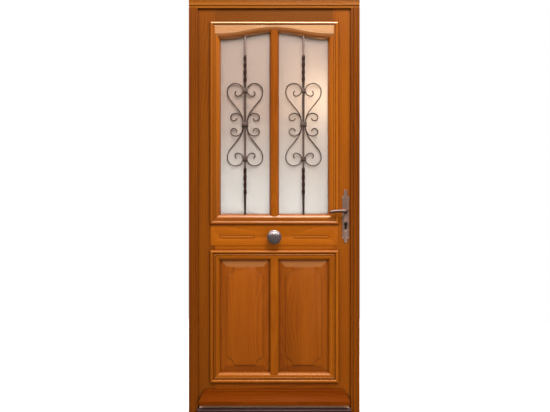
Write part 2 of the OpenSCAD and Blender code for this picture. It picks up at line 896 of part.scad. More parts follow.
follower_r = 10;
module lock_case() {
    hollow = case_wall;
    color(steel) difference() {
        box(case_x0, leaf_x - strip_t, leaf_y - case_t / 2, leaf_y + case_t / 2, case_z0, case_z1);
        box(case_x0 + hollow, leaf_x, leaf_y - case_t / 2 + hollow, leaf_y + case_t / 2 - hollow,
            case_z0 + hollow, case_z1 - hollow);
        bore_y(lock_x, lever_z, follower_r + run_fit, leaf_y - case_t, leaf_y + case_t);
        euro_hole(leaf_y - case_t, leaf_y + case_t, 0);
    }
}

module lock_faceplate() {
    color(brass) difference() {
        box(leaf_x - strip_t, leaf_x, leaf_y - 11, leaf_y + 11, case_z0 - 20, case_z1 + 20);
        for (z = [latch_z, dead_z]) {
            box(leaf_x - 9, leaf_x + 1, leaf_y - bolt_w / 2 - 0.3, leaf_y + bolt_w / 2 + 0.3,
                z - 11.3, z + 11.3);
        }
        faceplate_screws();
    }
}

// The cylinder's body, slotted at mid-depth for the cam
cam_r = 15;
cyl_out = 3;
y_cyl0 = y_leaf - plate_t - cyl_out;
y_cyl1 = y_in + plate_t + cyl_out;
plug_r = 6.5;
module cylinder_body() {
    color(brass) difference() {
        euro_hole(y_cyl0, y_cyl1, 0);
        box(lock_x - 12, lock_x + 12, leaf_y - 5.3, leaf_y + 5.3, cyl_z - cam_r - 0.8, cyl_z + 12);
        bore_y(lock_x, cyl_z, plug_r + run_fit, y_cyl0 - 1, y_cyl1 + 1);
    }
}

module cylinder_plug() {
    color(steel) difference() {
        union() {
            bore_y(lock_x, cyl_z, plug_r, y_cyl0, y_cyl1);
            box(lock_x - 4, lock_x + 4, leaf_y - 4.8, leaf_y + 4.8, cyl_z - cam_r + 0.8, cyl_z);
        }
        for (y = [y_cyl0 - 1, y_cyl1 - 19]) {
            box(lock_x - 1.25, lock_x + 1.25, y, y + 20, cyl_z - 4.5, cyl_z + 4.5);
        }
    }
}

// The long backplate: straight body, eared ends and rounded tips
plate_z0 = lever_z - 169.5;
plate_z1 = lever_z + 113;
plate_screw_zs = [plate_z0 + 31, plate_z1 - 44];
module plate_outline() {
    body_w = 38;
    ear_r = 8;
    tip_r = 10;
    translate([-body_w / 2, plate_z0 + 44]) square([body_w, plate_z1 - plate_z0 - 94]);
    for (e = [[plate_z0 + 31, plate_z0 + 44, plate_z0 + tip_r], [plate_z1 - 44, plate_z1 - 50, plate_z1 - tip_r]]) {
        for (x = [-13, 13]) {
            translate([x, e[0]]) circle(ear_r);
        }
        translate([-13, e[0] - ear_r]) square([26, 2 * ear_r]);
        translate([-16, min(e[0], e[1])]) square([32, abs(e[0] - e[1]) + 0.01]);
        translate([-tip_r, min(e[0], e[2])]) square([2 * tip_r, abs(e[0] - e[2])]);
        translate([0, e[2]]) circle(tip_r);
    }
}

hub_r = 8;
module handle_plate(y0, y1) {
    color(plate_grey) difference() {
        translate([lock_x, 0, 0]) slab(y0, y1) plate_outline();
        bore_y(lock_x, lever_z, hub_r + run_fit, y0 - 1, y1 + 1);
        euro_hole(y0 - 1, y1 + 1, 0);
        handle_screw_shanks(y0 - 1, y1 + 1);
    }
}

module handle_plate_outside() { handle_plate(y_leaf - plate_t, y_leaf); }
module handle_plate_inside() { handle_plate(y_in, y_in + plate_t); }

module handle_plate_screws() {
    color(steel) {
        handle_screw_shanks(y_leaf - plate_t, y_leaf + 18);
        handle_screw_shanks(y_in - 18, y_in + plate_t);
        for (z = plate_screw_zs) {
            bore_y(lock_x, z, 3.5, y_leaf - plate_t - 1.5, y_leaf - plate_t);
            bore_y(lock_x, z, 3.5, y_in + plate_t, y_in + plate_t + 1.5);
        }
    }
}

// ---------- levers ----------

lever_l = 90;
lever_out = 46;
// A lever with its root on the plane y = 0, pointing to -Y, its arm running to -X
module lever() {
    arm_y = -lever_out + 7;
    difference() {
        union() {
            rotate([90, 0, 0]) cylinder(h = lever_out - 4, r = hub_r);
            translate([0, -plate_t - 0.3, 0]) rotate([90, 0, 0]) cylinder(h = 6, r = 12);
            hull() {
                translate([0, arm_y, 0]) sphere(8, $fn = 24);
                translate([-lever_l * 0.55, arm_y - 1, 3]) sphere(5, $fn = 24);
            }
            hull() {
                translate([-lever_l * 0.55, arm_y - 1, 3]) sphere(5, $fn = 24);
                translate([-lever_l + 5, arm_y, -2]) sphere(5, $fn = 24);
            }
        }
        translate([-spindle_w / 2, -lever_out + 14, -spindle_w / 2])
            cube([spindle_w, lever_out, spindle_w]);
    }
}

module lever_outside() { color(plate_grey) translate([lock_x, y_leaf, lever_z]) lever(); }
module lever_inside() {
    color(plate_grey) translate([lock_x, y_in, lever_z]) mirror([0, 1, 0]) lever();
}

module spindle() {
    reach = lever_out - 14;
    color(steel) box(lock_x - spindle_w / 2, lock_x + spindle_w / 2, y_leaf - reach,
        y_in + reach, lever_z - spindle_w / 2, lever_z + spindle_w / 2);
}

module lock_follower() {
    color(steel) difference() {
        bore_y(lock_x, lever_z, follower_r, leaf_y - case_t / 2, leaf_y + case_t / 2);
        box(lock_x - spindle_w / 2, lock_x + spindle_w / 2, y_leaf, y_in,
            lever_z - spindle_w / 2, lever_z + spindle_w / 2);
    }
}

// ---------- bolts ----------

// The spring latch, bevelled on its outside so that it rides over the strike
module latch_bolt() {
    tip = leaf_x + latch_throw;
    back = leaf_x - 24;
    h = bolt_w / 2;
    color(steel) translate([0, leaf_y, latch_z - 10]) linear_extrude(20)
        polygon([[back, -h], [leaf_x, -h], [tip, h - 2], [tip, h], [back, h]]);
}

module dead_bolt() {
    color(steel) box(lock_x - 4, leaf_x, leaf_y - bolt_w / 2, leaf_y + bolt_w / 2,
        dead_z - 11, dead_z + 11);
}

module leaf_screws() {
    color(steel) {
        hinge_screws(true);
        faceplate_screws();
    }
}

jamb_hinge_side();
jamb_lock_side();
head();
threshold();
threshold_lip();
frame_seal();
strike_plate();
frame_screws();
hinge_frame_flap_bottom();
hinge_frame_flap_middle();
hinge_frame_flap_top();
hinge_pins();
hinge_washers();
stile_hinge_side();
stile_lock_side();
top_rail();
lock_rail();
bottom_rail();
muntin_upper();
muntin_lower();
panel_left();
panel_right();
glass_left();
glass_right();
glass_spacers();
moulding_upper_bottom();
moulding_upper_left();
moulding_upper_right();
moulding_upper_top();
moulding_lower_bottom();
moulding_lower_left();
moulding_lower_right();
moulding_lower_top();
weather_bar();
inside_beads_upper();
inside_beads_lower();
grille_left();
grille_right();
pull_knob();
knob_rose();
knob_bolt();
lock_case();
lock_faceplate();
cylinder_body();
handle_plate_outside();
handle_plate_inside();
handle_plate_screws();
hinge_leaf_flap_bottom();
hinge_leaf_flap_middle();
hinge_leaf_flap_top();
leaf_screws();
bottom_seal();
lever_outside();
lever_inside();
spindle();
lock_follower();
latch_bolt();
dead_bolt();
cylinder_plug();
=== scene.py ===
# %% [markdown]
# # A half-glazed entrance door in its frame
# This file dresses a finished door construction. The construction itself (frame, leaf, lock,
# hinges) is loaded as fixed parts, in metres, with X across the door, -Y outside and Z up.
# The pieces whose shape matters most to the eye are modelled again here with more care, and
# every other part gets a proper finish.

# %% Load the construction
import math
import random
import bmesh
import bpy
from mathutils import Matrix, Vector


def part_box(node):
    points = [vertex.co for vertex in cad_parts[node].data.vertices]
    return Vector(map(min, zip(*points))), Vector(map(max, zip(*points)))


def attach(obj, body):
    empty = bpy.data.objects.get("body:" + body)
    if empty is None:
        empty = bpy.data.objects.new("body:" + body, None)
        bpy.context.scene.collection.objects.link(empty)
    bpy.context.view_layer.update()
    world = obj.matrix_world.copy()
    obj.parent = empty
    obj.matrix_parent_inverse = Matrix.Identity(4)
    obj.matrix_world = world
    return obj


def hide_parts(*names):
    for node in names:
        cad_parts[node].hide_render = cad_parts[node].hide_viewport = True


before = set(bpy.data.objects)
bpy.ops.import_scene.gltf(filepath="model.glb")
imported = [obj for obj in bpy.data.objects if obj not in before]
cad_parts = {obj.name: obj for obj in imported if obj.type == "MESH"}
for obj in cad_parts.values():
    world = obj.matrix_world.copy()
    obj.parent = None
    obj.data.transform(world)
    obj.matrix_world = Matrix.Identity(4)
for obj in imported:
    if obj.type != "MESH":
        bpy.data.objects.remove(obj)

bpy.ops.object.select_all(action="DESELECT")
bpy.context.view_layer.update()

# %% [markdown]
# ## Measures
# A joiner marks the rods before cutting. These are the lines that the pieces share, read from
# the construction's own parts wherever one of them carries the line, so that a new piece sits
# exactly where the old one did.

# %% Shared lines
MM = 0.001


def low(node, axis):
    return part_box(node)[0][axis]


def high(node, axis):
    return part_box(node)[1][axis]


Y_LEAF = low("stile_hinge_side", 1)      # the leaf's outside face
Y_IN = high("stile_hinge_side", 1)       # its inside face
Y_GLASS = low("glass_left", 1)
OUT_X = high("moulding_upper_right", 0)  # outer edge of the surrounds
MOULD = 55 * MM
OPEN_X = OUT_X - MOULD                   # sight edge of glass and panels
UP_0 = low("moulding_upper_bottom", 2) + MOULD
UP_TOP = high("moulding_upper_top", 2)
LOW_0 = low("moulding_lower_bottom", 2) + MOULD
LOW_1 = high("moulding_lower_top", 2) - MOULD
SPRING_Z = 1971 * MM                     # where the arched head springs
ARCH_RISE = 36 * MM
PANE_X = (25 * MM + OPEN_X) / 2          # middle of a pane
print("leaf face", round(Y_LEAF, 4), "surround", round(OUT_X, 4), "opening", round(OPEN_X, 4))


def arch(x):
    """Height of the arched head over the point x across the door."""
    return SPRING_Z + ARCH_RISE * (1 + math.cos(math.pi * x / OPEN_X)) / 2

# %% [markdown]
# ## Camera, floor and light
# The door stands free on a pale floor. One large soft light above the front, a little to the
# right, draws the bright line along every moulding, and a dimmer one fills the shadows. A third
# stands behind the door, because frosted glass looks alive only when light comes through it, and
# a small warm lamp indoors glows through the upper part of the right pane.

# %% Camera
CAMERA_PLACE = (0.004, -3.287, 1.0895)    # level with the middle of the door
SENSOR, FOCAL = 36, 40.4                  # both in millimetres
bpy.ops.object.camera_add(location=CAMERA_PLACE, rotation=(math.pi / 2, 0, 0))
camera = bpy.context.object
camera.data.sensor_width = SENSOR
camera.data.lens = FOCAL
bpy.context.scene.camera = camera
bpy.context.scene.view_settings.view_transform = "Standard"
print("camera", CAMERA_PLACE, "focal length", FOCAL)

# %% Nodes in a few words
def put(tree, kind, inputs=(), **settings):
    """Adds a shader node. An input is given as a plain value or as another node's output."""
    node = tree.nodes.new("ShaderNode" + kind)
    node.location = (200 * (len(tree.nodes) % 12), -320 * (len(tree.nodes) // 12))
    for name, value in settings.items():
        setattr(node, name, value)
    for name, value in dict(inputs).items():
        if isinstance(value, bpy.types.NodeSocket):
            tree.links.new(value, node.inputs[name])
        else:
            node.inputs[name].default_value = value
    return node


def combine(tree, a, b, operation="MULTIPLY"):
    """One number from two: multiplied, or whatever the operation says."""
    return put(tree, "Math", {0: a, 1: b}, operation=operation).outputs[0]


def rescale(tree, value, low_in, high_in, low_out=0.0, high_out=1.0):
    """Stretches a range of values onto another one, without running past its ends."""
    names = ("Value", "From Min", "From Max", "To Min", "To Max")
    return put(tree, "MapRange", zip(names, (value, low_in, high_in, low_out, high_out))).outputs[0]


def blend_colour(tree, factor, a, b, how="MIX"):
    colours = {0: factor, 6: a, 7: b}
    return put(tree, "Mix", colours, data_type="RGBA", blend_type=how).outputs[2]


def noise(tree, where, scale, detail=2.0, rough=0.5):
    return put(tree, "TexNoise", {"Vector": where, "Scale": scale, "Detail": detail,
                                  "Roughness": rough}).outputs["Fac"]

# %% Floor
bpy.ops.mesh.primitive_plane_add(size=5, location=(0, 0.2, -0.001))
floor = bpy.context.object
floor.name = "floor"
floor_paint = bpy.data.materials.new("floor paint")
floor_paint.use_nodes = True
floor_shader = floor_paint.node_tree.nodes["Principled BSDF"]
for name, value in {"Base Color": (0.9, 0.9, 0.9, 1), "Roughness": 0.6,
                    "Emission Color": (1, 1, 1, 1), "Emission Strength": 0.6}.items():
    floor_shader.inputs[name].default_value = value
floor.data.materials.append(floor_paint)
floor.visible_diffuse = floor.visible_glossy = False
print("floor under the door at", round(floor.location.z, 4))

# %% Lights
def soft_light(name, place, target, size, power, colour=(1, 1, 1)):
    """A large lamp that looks at a point and isn't itself seen."""
    bpy.ops.object.light_add(type="AREA", location=place)
    lamp = bpy.context.object
    lamp.name = name
    lamp.rotation_euler = (Vector(target) - Vector(place)).to_track_quat("-Z", "Y").to_euler()
    lamp.data.size = size
    lamp.data.energy = power
    lamp.data.color = colour
    lamp.visible_camera = False
    return lamp


soft_light("key light", (0.7, -3.3, 4.9), (0, 0, 1.1), 2.1, 215, (1.0, 0.96, 0.9))
fill = soft_light("fill light", (1.9, -3.3, 0.9), (0, 0, 0.9), 1.8, 26, (1.0, 0.97, 0.94))
fill.visible_glossy = False     # it only lifts shadows and leaves no sheen
soft_light("light behind the glass", (0.0, 1.5, 0.6), (0.0, 0, 1.3), 1.2, 12, (1.0, 1.0, 0.97))
soft_light("warm lamp indoors", (0.28, 0.42, 1.735), (0.27, 0, 1.72), 0.15, 2.7, (1.0, 1.0, 0.8))

# %% The room around the door
# it is white to the eye, soft on matt surfaces and dim in reflections, brighter overhead
world = bpy.data.worlds.new("pale room")
bpy.context.scene.world = world
world.use_nodes = True
room = world.node_tree
seen = room.nodes["Background"]
seen.inputs["Color"].default_value = (1, 1, 1, 1)
height = put(room, "SeparateXYZ", {0: put(room, "TexCoord").outputs["Generated"]}).outputs[2]
overhead = rescale(room, height, -0.5, 0.8, 0.25, 0.75)
path = put(room, "LightPath")
sky = rescale(room, height, 0.36, 0.7, 0.1, 4.5)
mirrored_sky = put(room, "Mix", {0: path.outputs["Is Glossy Ray"], 2: overhead, 3: sky}).outputs[0]
felt = put(room, "Background", {"Color": (1.0, 0.97, 0.94, 1), "Strength": mirrored_sky})
both = put(room, "MixShader", {0: path.outputs["Is Camera Ray"], 1: felt.outputs[0],
                               2: seen.outputs[0]})
room.links.new(both.outputs[0], room.nodes["World Output"].inputs["Surface"])

# %% [markdown]
# ## Wood
# The door is a warm orange-brown hardwood under a satin varnish. Real boards differ: each has
# its own figure, tone and grain direction, and a few tones also carry painted light. One node group
# draws the figure (broad tone, curved growth rings, long fibres and short pores) in a space where
# the grain runs along Z, and each material turns and shifts that space for its own board. A second
# group paints shade into the quirks and corners, which is what makes mouldings read from a distance.

# %% Group builder
def new_group(name, inputs, outputs):
    """An empty node group with named sockets. Returns its tree, its inputs and its end node."""
    tree = bpy.data.node_groups.new(name, "ShaderNodeTree")
    for label, value in inputs.items():
        kind = {"float": "NodeSocketFloat", "tuple": "NodeSocketColor",
                "NoneType": "NodeSocketVector"}[type(value).__name__]
        socket = tree.interface.new_socket(label, in_out="INPUT", socket_type=kind)
        if value is not None:
            socket.default_value = value
    for label in outputs:
        kind = "NodeSocketColor" if label == "Color" else "NodeSocketFloat"
        tree.interface.new_socket(label, in_out="OUTPUT", socket_type=kind)
    source = tree.nodes.new("NodeGroupInput")
    end = tree.nodes.new("NodeGroupOutput")
    end.location = (2600, 0)
    return tree, source.outputs, end


def give(tree, end, **values):
    for name, socket in values.items():
        tree.links.new(socket, end.inputs[name])

# %% The wood's figure
tree, given, end = new_group(
    "wood figure",
    {"Vector": None, "Light": (0.45, 0.14, 0.01, 1), "Dark": (0.2, 0.05, 0.005, 1), "Figure": 0.5,
     "Rings": 0.35}, ["Color", "Roughness", "Height"])
parts = put(tree, "SeparateXYZ", {0: given["Vector"]}).outputs
across, drift, along = [put(tree, "CombineXYZ", {0: parts[0], 1: parts[1],
                                                2: combine(tree, parts[2], stretch)}).outputs[0]
                        for stretch in (0.10, 0.22, 0.02)]     # the pattern drawn out along Z
broad = noise(tree, across, 9.0, 3.0, 0.55)
wander = noise(tree, drift, 5.0, 2.0)
radius = combine(tree, combine(tree, parts[0], parts[0]), combine(tree, parts[1], parts[1]), "ADD")
radius = combine(tree, combine(tree, radius, 0.5, "POWER"), combine(tree, wander, 0.16), "ADD")
rings = put(tree, "Math", {0: combine(tree, radius, 560.0)}, operation="SINE").outputs[0]
rings = rescale(tree, rings, -0.6, 1.0)
fibre = noise(tree, along, 620.0, 3.0, 0.6)
pores = rescale(tree, noise(tree, along, 1500.0, 1.0), 0.62, 0.72)
tone = combine(tree, combine(tree, rescale(tree, broad, 0.3, 0.7), given["Figure"]),
             combine(tree, rings, given["Rings"]), "ADD")
tone = combine(tree, tone, combine(tree, rescale(tree, fibre, 0.3, 0.7), 0.28), "ADD")
colour = blend_colour(tree, rescale(tree, tone, 0.05, 1.05), given["Light"], given["Dark"])
colour = blend_colour(tree, combine(tree, pores, 0.3), colour, (0.05, 0.012, 0.002, 1))
give(tree, end, Color=colour, Roughness=rescale(tree, fibre, 0.2, 0.8, 0.27, 0.4),
     Height=combine(tree, combine(tree, fibre, 0.6), combine(tree, pores, 0.5), "SUBTRACT"))
wood_figure = tree
print("wood figure", len(tree.nodes), "nodes")

# %% Painted shade in corners and quirks
tree, given, end = new_group(
    "painted crevice shade",
    {"Base": (0.5, 0.5, 0.5, 1), "Shade Colour": (0.02, 0.01, 0.0, 1), "Reach": 0.012, "Amount": 0.6},
    ["Color", "Mask"])
# painted shade: the colour darkens where ambient occlusion finds a corner or quirk, in patches
hidden = put(tree, "AmbientOcclusion", {"Distance": given["Reach"]}, samples=6).outputs["AO"]
position = put(tree, "TexCoord").outputs["Object"]
patchy = rescale(tree, noise(tree, position, 35.0, 3.0), 0.3, 0.7, 0.6, 1.0)
mask = combine(tree, rescale(tree, hidden, 0.25, 0.95, 1.0, 0.0), given["Amount"])
mask = combine(tree, mask, patchy)
give(tree, end, Color=blend_colour(tree, mask, given["Base"], given["Shade Colour"]), Mask=mask)
painted_crevice_shade = tree
print("painted crevice shade", len(tree.nodes), "nodes")

# %% One varnished board
def base_material(name, settings):
    """A new material and its tree, with the given plain values on its shader."""
    material = bpy.data.materials.new(name)
    material.use_nodes = True
    shader = material.node_tree.nodes["Principled BSDF"]
    for key, value in settings.items():
        shader.inputs[key].default_value = value
    return material, material.node_tree, shader


def group(tree, of, inputs):
    return put(tree, "Group", inputs, node_tree=of).outputs


def bump(tree, shader, height, depth):
    """Feeds a height in metres per unit to the shader's normal."""
    node = put(tree, "Bump", {"Height": height, "Distance": depth, "Strength": 1.0})
    tree.links.new(node.outputs[0], shader.inputs["Normal"])


board_count = 0


def varnished(name, along="z", tone=1.0, warmth=1.0, rings=0.3, figure=0.5, gloss=0.2):
    """Varnished wood for one board: its grain direction, its tone and its own cut of the tree."""
    global board_count
    board_count += 1
    chance = random.Random(board_count)
    material, tree, shader = base_material(name, {
        "Coat Weight": gloss, "Coat Roughness": 0.16, "IOR": 1.45,
        "Specular IOR Level": 0.2 + 0.3 * gloss, "Specular Tint": (1.0, 0.66, 0.34, 1)})
    place = put(tree, "TexCoord").outputs["Object"]
    turn = {"z": (0, 0, 0), "x": (0, math.pi / 2, 0)}[along]
    # the pith lies well behind the board, so that its face shows long shallow curves
    shift = (chance.uniform(-0.08, 0.08), 0.09 + chance.uniform(0, 0.05), chance.uniform(0, 9))
    turned = put(tree, "Mapping", {"Vector": place, "Rotation": turn}).outputs[0]
    mapped = put(tree, "Mapping", {"Vector": turned, "Location": shift}).outputs[0]
    light = (0.46 * tone, 0.118 * tone * warmth, 0.004 * tone * warmth, 1)
    dark = (0.25 * tone, 0.05 * tone * warmth, 0.0015 * tone * warmth, 1)
    wood = group(tree, wood_figure, {"Vector": mapped, "Light": light, "Dark": dark,
                                     "Figure": figure, "Rings": rings})
    # painted shade darkens the base colour in quirks and corners, and the same mask makes them
    # rougher
    crevice_shade = group(tree, painted_crevice_shade, {"Base": wood["Color"], "Shade Colour": (0.035, 0.008, 0.0006, 1),
                                      "Reach": 0.018, "Amount": 0.9})
    tree.links.new(crevice_shade["Color"], shader.inputs["Base Color"])
    rough = combine(tree, wood["Roughness"], combine(tree, crevice_shade["Mask"], 0.25), "ADD")
    tree.links.new(rough, shader.inputs["Roughness"])
    bump(tree, shader, wood["Height"], 0.00022)
    return material


def dress(material, *nodes):
    """Gives a material to parts of the construction."""
    for name in nodes:
        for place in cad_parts[name].material_slots:
            place.material = material
    print(material.name, "on", ", ".join(nodes))

# %% Boards of the frame and the leaf
# The head's higher tone is painted light, for a head lit from above; the right stile's higher tone
# than the left is partly its board and partly painted light, for light falling more from the right.
for name, along, tone, warmth, nodes in (
        ("frame wood left", "z", 0.62, 0.95, ["jamb_hinge_side"]),
        ("frame wood right", "z", 0.62, 0.92, ["jamb_lock_side"]),
        ("frame wood top", "x", 0.95, 1.15, ["head"]),
        ("stile wood left", "z", 0.68, 1.0, ["stile_hinge_side"]),
        ("stile wood right", "z", 0.9, 1.0, ["stile_lock_side"]),
        ("top rail wood", "x", 0.5, 1.0, ["top_rail"]),
        ("bottom rail wood", "x", 0.86, 0.9, ["bottom_rail"]),
        ("inside bead wood", "z", 0.9, 1.0, ["inside_beads_upper", "inside_beads_lower"])):
    dress(varnished(name, along, tone, warmth), *nodes)
print("boards so far", board_count)

# %% [markdown]
# ## Drawing and cutting, as at the bench
# Most of this door is profile work: a knife is ground to a section, a length is run, and its
# ends are mitred. The same three steps are used here. A section is drawn corner by corner from
# one point, pushed along its run, and sawn off by a plane.

# %% Tools for run pieces
X, Y, Z = Vector((1, 0, 0)), Vector((0, 1, 0)), Vector((0, 0, 1))


def edit():
    bpy.ops.object.mode_set(mode="EDIT")


def leave():
    bpy.ops.object.mode_set(mode="OBJECT")


def outward():
    """Turns all faces of the piece outwards and leaves edit mode."""
    bpy.ops.mesh.select_all(action="SELECT")
    bpy.ops.mesh.normals_make_consistent(inside=False)
    leave()


def choose(main, *others):
    """Selects these pieces and nothing else, with the first one active."""
    bpy.ops.object.select_all(action="DESELECT")
    for piece in (main,) + others:
        piece.select_set(True)
    bpy.context.view_layer.objects.active = main

# %% Picking and drawing
def pick(test, kind="VERT"):
    """In edit mode, selects the corners, edges or faces for which the test holds."""
    bpy.ops.mesh.select_mode(type=kind)
    bpy.ops.mesh.select_all(action="DESELECT")
    mesh = bmesh.from_edit_mesh(bpy.context.object.data)
    for item in {"VERT": mesh.verts, "EDGE": mesh.edges, "FACE": mesh.faces}[kind]:
        if test(item):
            item.select_set(True)
    mesh.select_flush_mode()
    bmesh.update_edit_mesh(bpy.context.object.data)


def drawn(name, corners, fill=True):
    """Starts a piece as an outline in space, left in edit mode and all selected."""
    bpy.ops.object.select_all(action="DESELECT")
    bpy.ops.mesh.primitive_plane_add(size=MM, location=corners[0])
    piece = bpy.context.object
    piece.name = name
    edit()
    bpy.ops.mesh.select_mode(type="VERT")
    bpy.ops.mesh.select_all(action="SELECT")
    bpy.ops.mesh.merge(type="CENTER")
    for here, there in zip(corners, corners[1:]):
        step = Vector(there) - Vector(here)
        bpy.ops.mesh.extrude_vertices_move(TRANSFORM_OT_translate={"value": step})
    bpy.ops.mesh.select_all(action="SELECT")
    if fill:
        bpy.ops.mesh.edge_face_add()
    return piece

# %% Pushing, sawing and handing over
def push(step):
    bpy.ops.mesh.extrude_region_move(TRANSFORM_OT_translate={"value": step})


def saw(point, away):
    """Cuts the piece by a plane and drops what lies on the side that away points to."""
    bpy.ops.mesh.select_all(action="SELECT")
    bpy.ops.mesh.bisect(plane_co=point, plane_no=away, use_fill=True, clear_outer=True)


def finished(piece, body, nodes, material, soften=0.0, smooth=30, steps=2):
    """Leaves edit mode, turns the faces outward, eases the edges and hands the piece over."""
    if bpy.context.mode != "OBJECT":
        bpy.ops.mesh.select_all(action="SELECT")
        bpy.ops.mesh.remove_doubles(threshold=0.01 * MM)
        outward()
    choose(piece)
    bpy.ops.object.transform_apply(location=True, rotation=True, scale=True)
    if soften:
        eased = piece.modifiers.new("eased edges", "BEVEL")
        eased.width, eased.segments, eased.limit_method = soften, steps, "ANGLE"
        eased.angle_limit = math.radians(32)
        eased.use_clamp_overlap = True
        bpy.ops.object.modifier_apply(modifier=eased.name)
    bpy.ops.object.shade_smooth_by_angle(angle=math.radians(smooth))
    piece.data.materials.clear()
    piece.data.materials.append(material)
    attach(piece, body)
    if nodes:
        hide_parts(*nodes)
    lowest, highest = piece_box(piece)
    print(piece.name, len(piece.data.polygons), "faces", [round(v, 3) for v in lowest + highest])
    return piece


def piece_box(piece):
    places = [v.co for v in piece.data.vertices]
    return [[end(p[i] for p in places) for i in range(3)] for end in (min, max)]


def arc(centre, radius, start, end, steps):
    """Points on an arc in the section's plane, angles in degrees."""
    angles = [math.radians(start + (end - start) * i / steps) for i in range(steps + 1)]
    return [(centre[0] + radius * math.cos(a), centre[1] + radius * math.sin(a)) for a in angles]

# %% [markdown]
# ## The surrounds
# Each opening is framed by a bolection moulding: a quarter-round ovolo rises from the glass, a
# quirk separates it from a flat, and a round nose laps over the stile. The section is a list of
# corners, measured outwards from the sight edge and out of the leaf's face. The lower surround
# has a smaller ovolo and a second bead.

# %% Sections of the mouldings
upper_section = ([(0, -15), (0, -12.5), (2, -12.5)] + arc((26, -12.5), 24, 180, 90, 9)[1:]
                 + [(26, 6.5), (28.5, 6.5), (28.5, 10), (37, 10), (38, 8)]
                 + arc((46.5, 8), 8.5, 180, 0, 12)[1:] + [(55, 0), (28, 0), (28, -15)])
lower_section = ([(0, -15), (0, -12.5), (2, -12.5)] + arc((24, -12.5), 22, 180, 90, 8)[1:]
                 + [(24, 7), (26, 7)] + arc((30, 7.5), 4, 180, 0, 8) + [(34, 6.5), (38, 6.5)]
                 + arc((46.5, 8), 8.5, 190, 0, 12) + [(55, 0), (28, 0), (28, -15)])

print("section corners", len(upper_section), "and", len(lower_section))


def section_at(section, corner, out):
    return [Vector(corner) + out * u * MM + Vector((0, Y_LEAF - v * MM, 0)) for u, v in section]


def surround_side(name, section, a, b, out):
    """One straight side of a surround from corner a to corner b, mitred at both ends."""
    a, b = Vector(a), Vector(b)
    run = (b - a).normalized()
    piece = drawn(name, section_at(section, a - run * MOULD, out))
    push(run * ((b - a).length + 2 * MOULD))
    saw(a, -run - out)
    saw(b, run - out)
    return piece

# %% Wood of the mouldings
moulding_wood = {}
for key, along, tone, gloss in (("lower_bottom", "x", 1.05, 0.25), ("lower_top", "x", 1.12, 0.3),
                                ("lower_left", "z", 0.98, 0.25), ("lower_right", "z", 1.08, 0.25),
                                ("upper_bottom", "x", 1.15, 0.8), ("upper_top", "x", 1.1, 1.0),
                                ("upper_left", "z", 0.98, 0.5), ("upper_right", "z", 1.12, 0.5)):
    name = "moulding wood " + key.replace("_", " ")
    moulding_wood[key] = varnished(name, along, tone, 1.05, 0.22, gloss=gloss)
top_shader = moulding_wood["upper_top"].node_tree.nodes["Principled BSDF"]
for socket, value in {"Coat Weight": 0.35, "IOR": 2.9, "Specular IOR Level": 0.5,
                      "Specular Tint": (1.0, 0.8, 0.5, 1)}.items():
    top_shader.inputs[socket].default_value = value     # the thickest varnish, gone amber
print("moulding boards", len(moulding_wood))

# %% Straight sides
for place, z_0, z_1, section in (("lower", LOW_0, LOW_1, lower_section),
                                 ("upper", UP_0, SPRING_Z, upper_section)):
    corners = [(-OPEN_X, 0, z_0), (OPEN_X, 0, z_0), (OPEN_X, 0, z_1), (-OPEN_X, 0, z_1)]
    sides = [("bottom", 0, 1, -Z)]
    if place == "lower":
        sides += [("right", 1, 2, X), ("top", 2, 3, Z), ("left", 3, 0, -X)]
    for side, start, stop, out in sides:
        node = "moulding_" + place + "_" + side
        piece = surround_side(node + "_run", section, corners[start], corners[stop], out)
        finished(piece, "leaf", [node], moulding_wood[place + "_" + side])

# %% [markdown]
# ### The arched head and its corners
# The head's ovolo follows a cosine curve while its nose stays straight, so the flat between them
# grows and shrinks. It is run in short lengths: after each length the ovolo's corners are
# lifted by what the curve has risen. At the ends every corner slides until the two boards meet,
# at 45 degrees on the ovolo, upright beside the flat, and at 45 degrees again on the nose.

# %% Arched head
FLAT_Z = UP_TOP - MOULD                       # level of the straight part's section
OVOLO_U = 26.2


def shift_each(spots, moves):
    """Moves the corners that lie near each given point by that point's own amount."""
    for spot, step in zip(spots, moves):
        if step.length > 1e-7:
            pick(lambda v: (v.co + bpy.context.object.location - spot).length < 0.02 * MM)
            bpy.ops.transform.translate(value=step)


STEPS = 48
xs = [-OPEN_X + 2 * OPEN_X * i / STEPS for i in range(STEPS + 1)]
# the flat needs a second corner where its straight part begins
step_in = upper_section.index((28.5, 10)) + 1
head_section = upper_section[:step_in] + [(28.52, 10)] + upper_section[step_in:]


def head_points(x, slide):
    """The head's section over x: ovolo lifted to the arch, the rest on the straight line.
    At the ends slide is -1 or 1, and each corner moves outwards by its own width."""
    points = []
    for u, v in head_section:
        curved = u < OVOLO_U or u == 28.5
        level = (arch(x) if curved else FLAT_Z) + u * MM
        points.append(Vector((x + slide * u * MM, Y_LEAF - v * MM, level)))
    return points

# %% The head's run, length by length
rows = [head_points(xs[0], -1)] + [head_points(x, 0) for x in xs[1:-1]] + [head_points(xs[-1], 1)]
head = drawn("moulding_upper_top_run", rows[0])
for here, there in zip(rows, rows[1:]):
    push(there[0] - here[0])
    moved = [p + (there[0] - here[0]) for p in here]
    groups = {}                 # the corners that still have to move, by how far
    for old, new in zip(moved, there):
        step = new - old
        groups.setdefault((round(step.x, 6), round(step.z, 6)), []).append(old)
    for (dx, dz), spots in groups.items():
        if abs(dx) + abs(dz) > 1e-6:
            pick(lambda v: any((v.co + head.location - s).length < 0.02 * MM for s in spots))
            bpy.ops.transform.translate(value=(dx, 0, dz))
    pick(lambda f: all(any((v.co + head.location - s).length < 0.05 * MM for s in there)
                       for v in f.verts), "FACE")
finished(head, "leaf", ["moulding_upper_top"], moulding_wood["upper_top"])

# %% [markdown]
# ### The upright sides
# Each side is the same section run upwards. Its foot is sawn at 45 degrees, and at its top each
# corner stops where the head's matching corner ends.

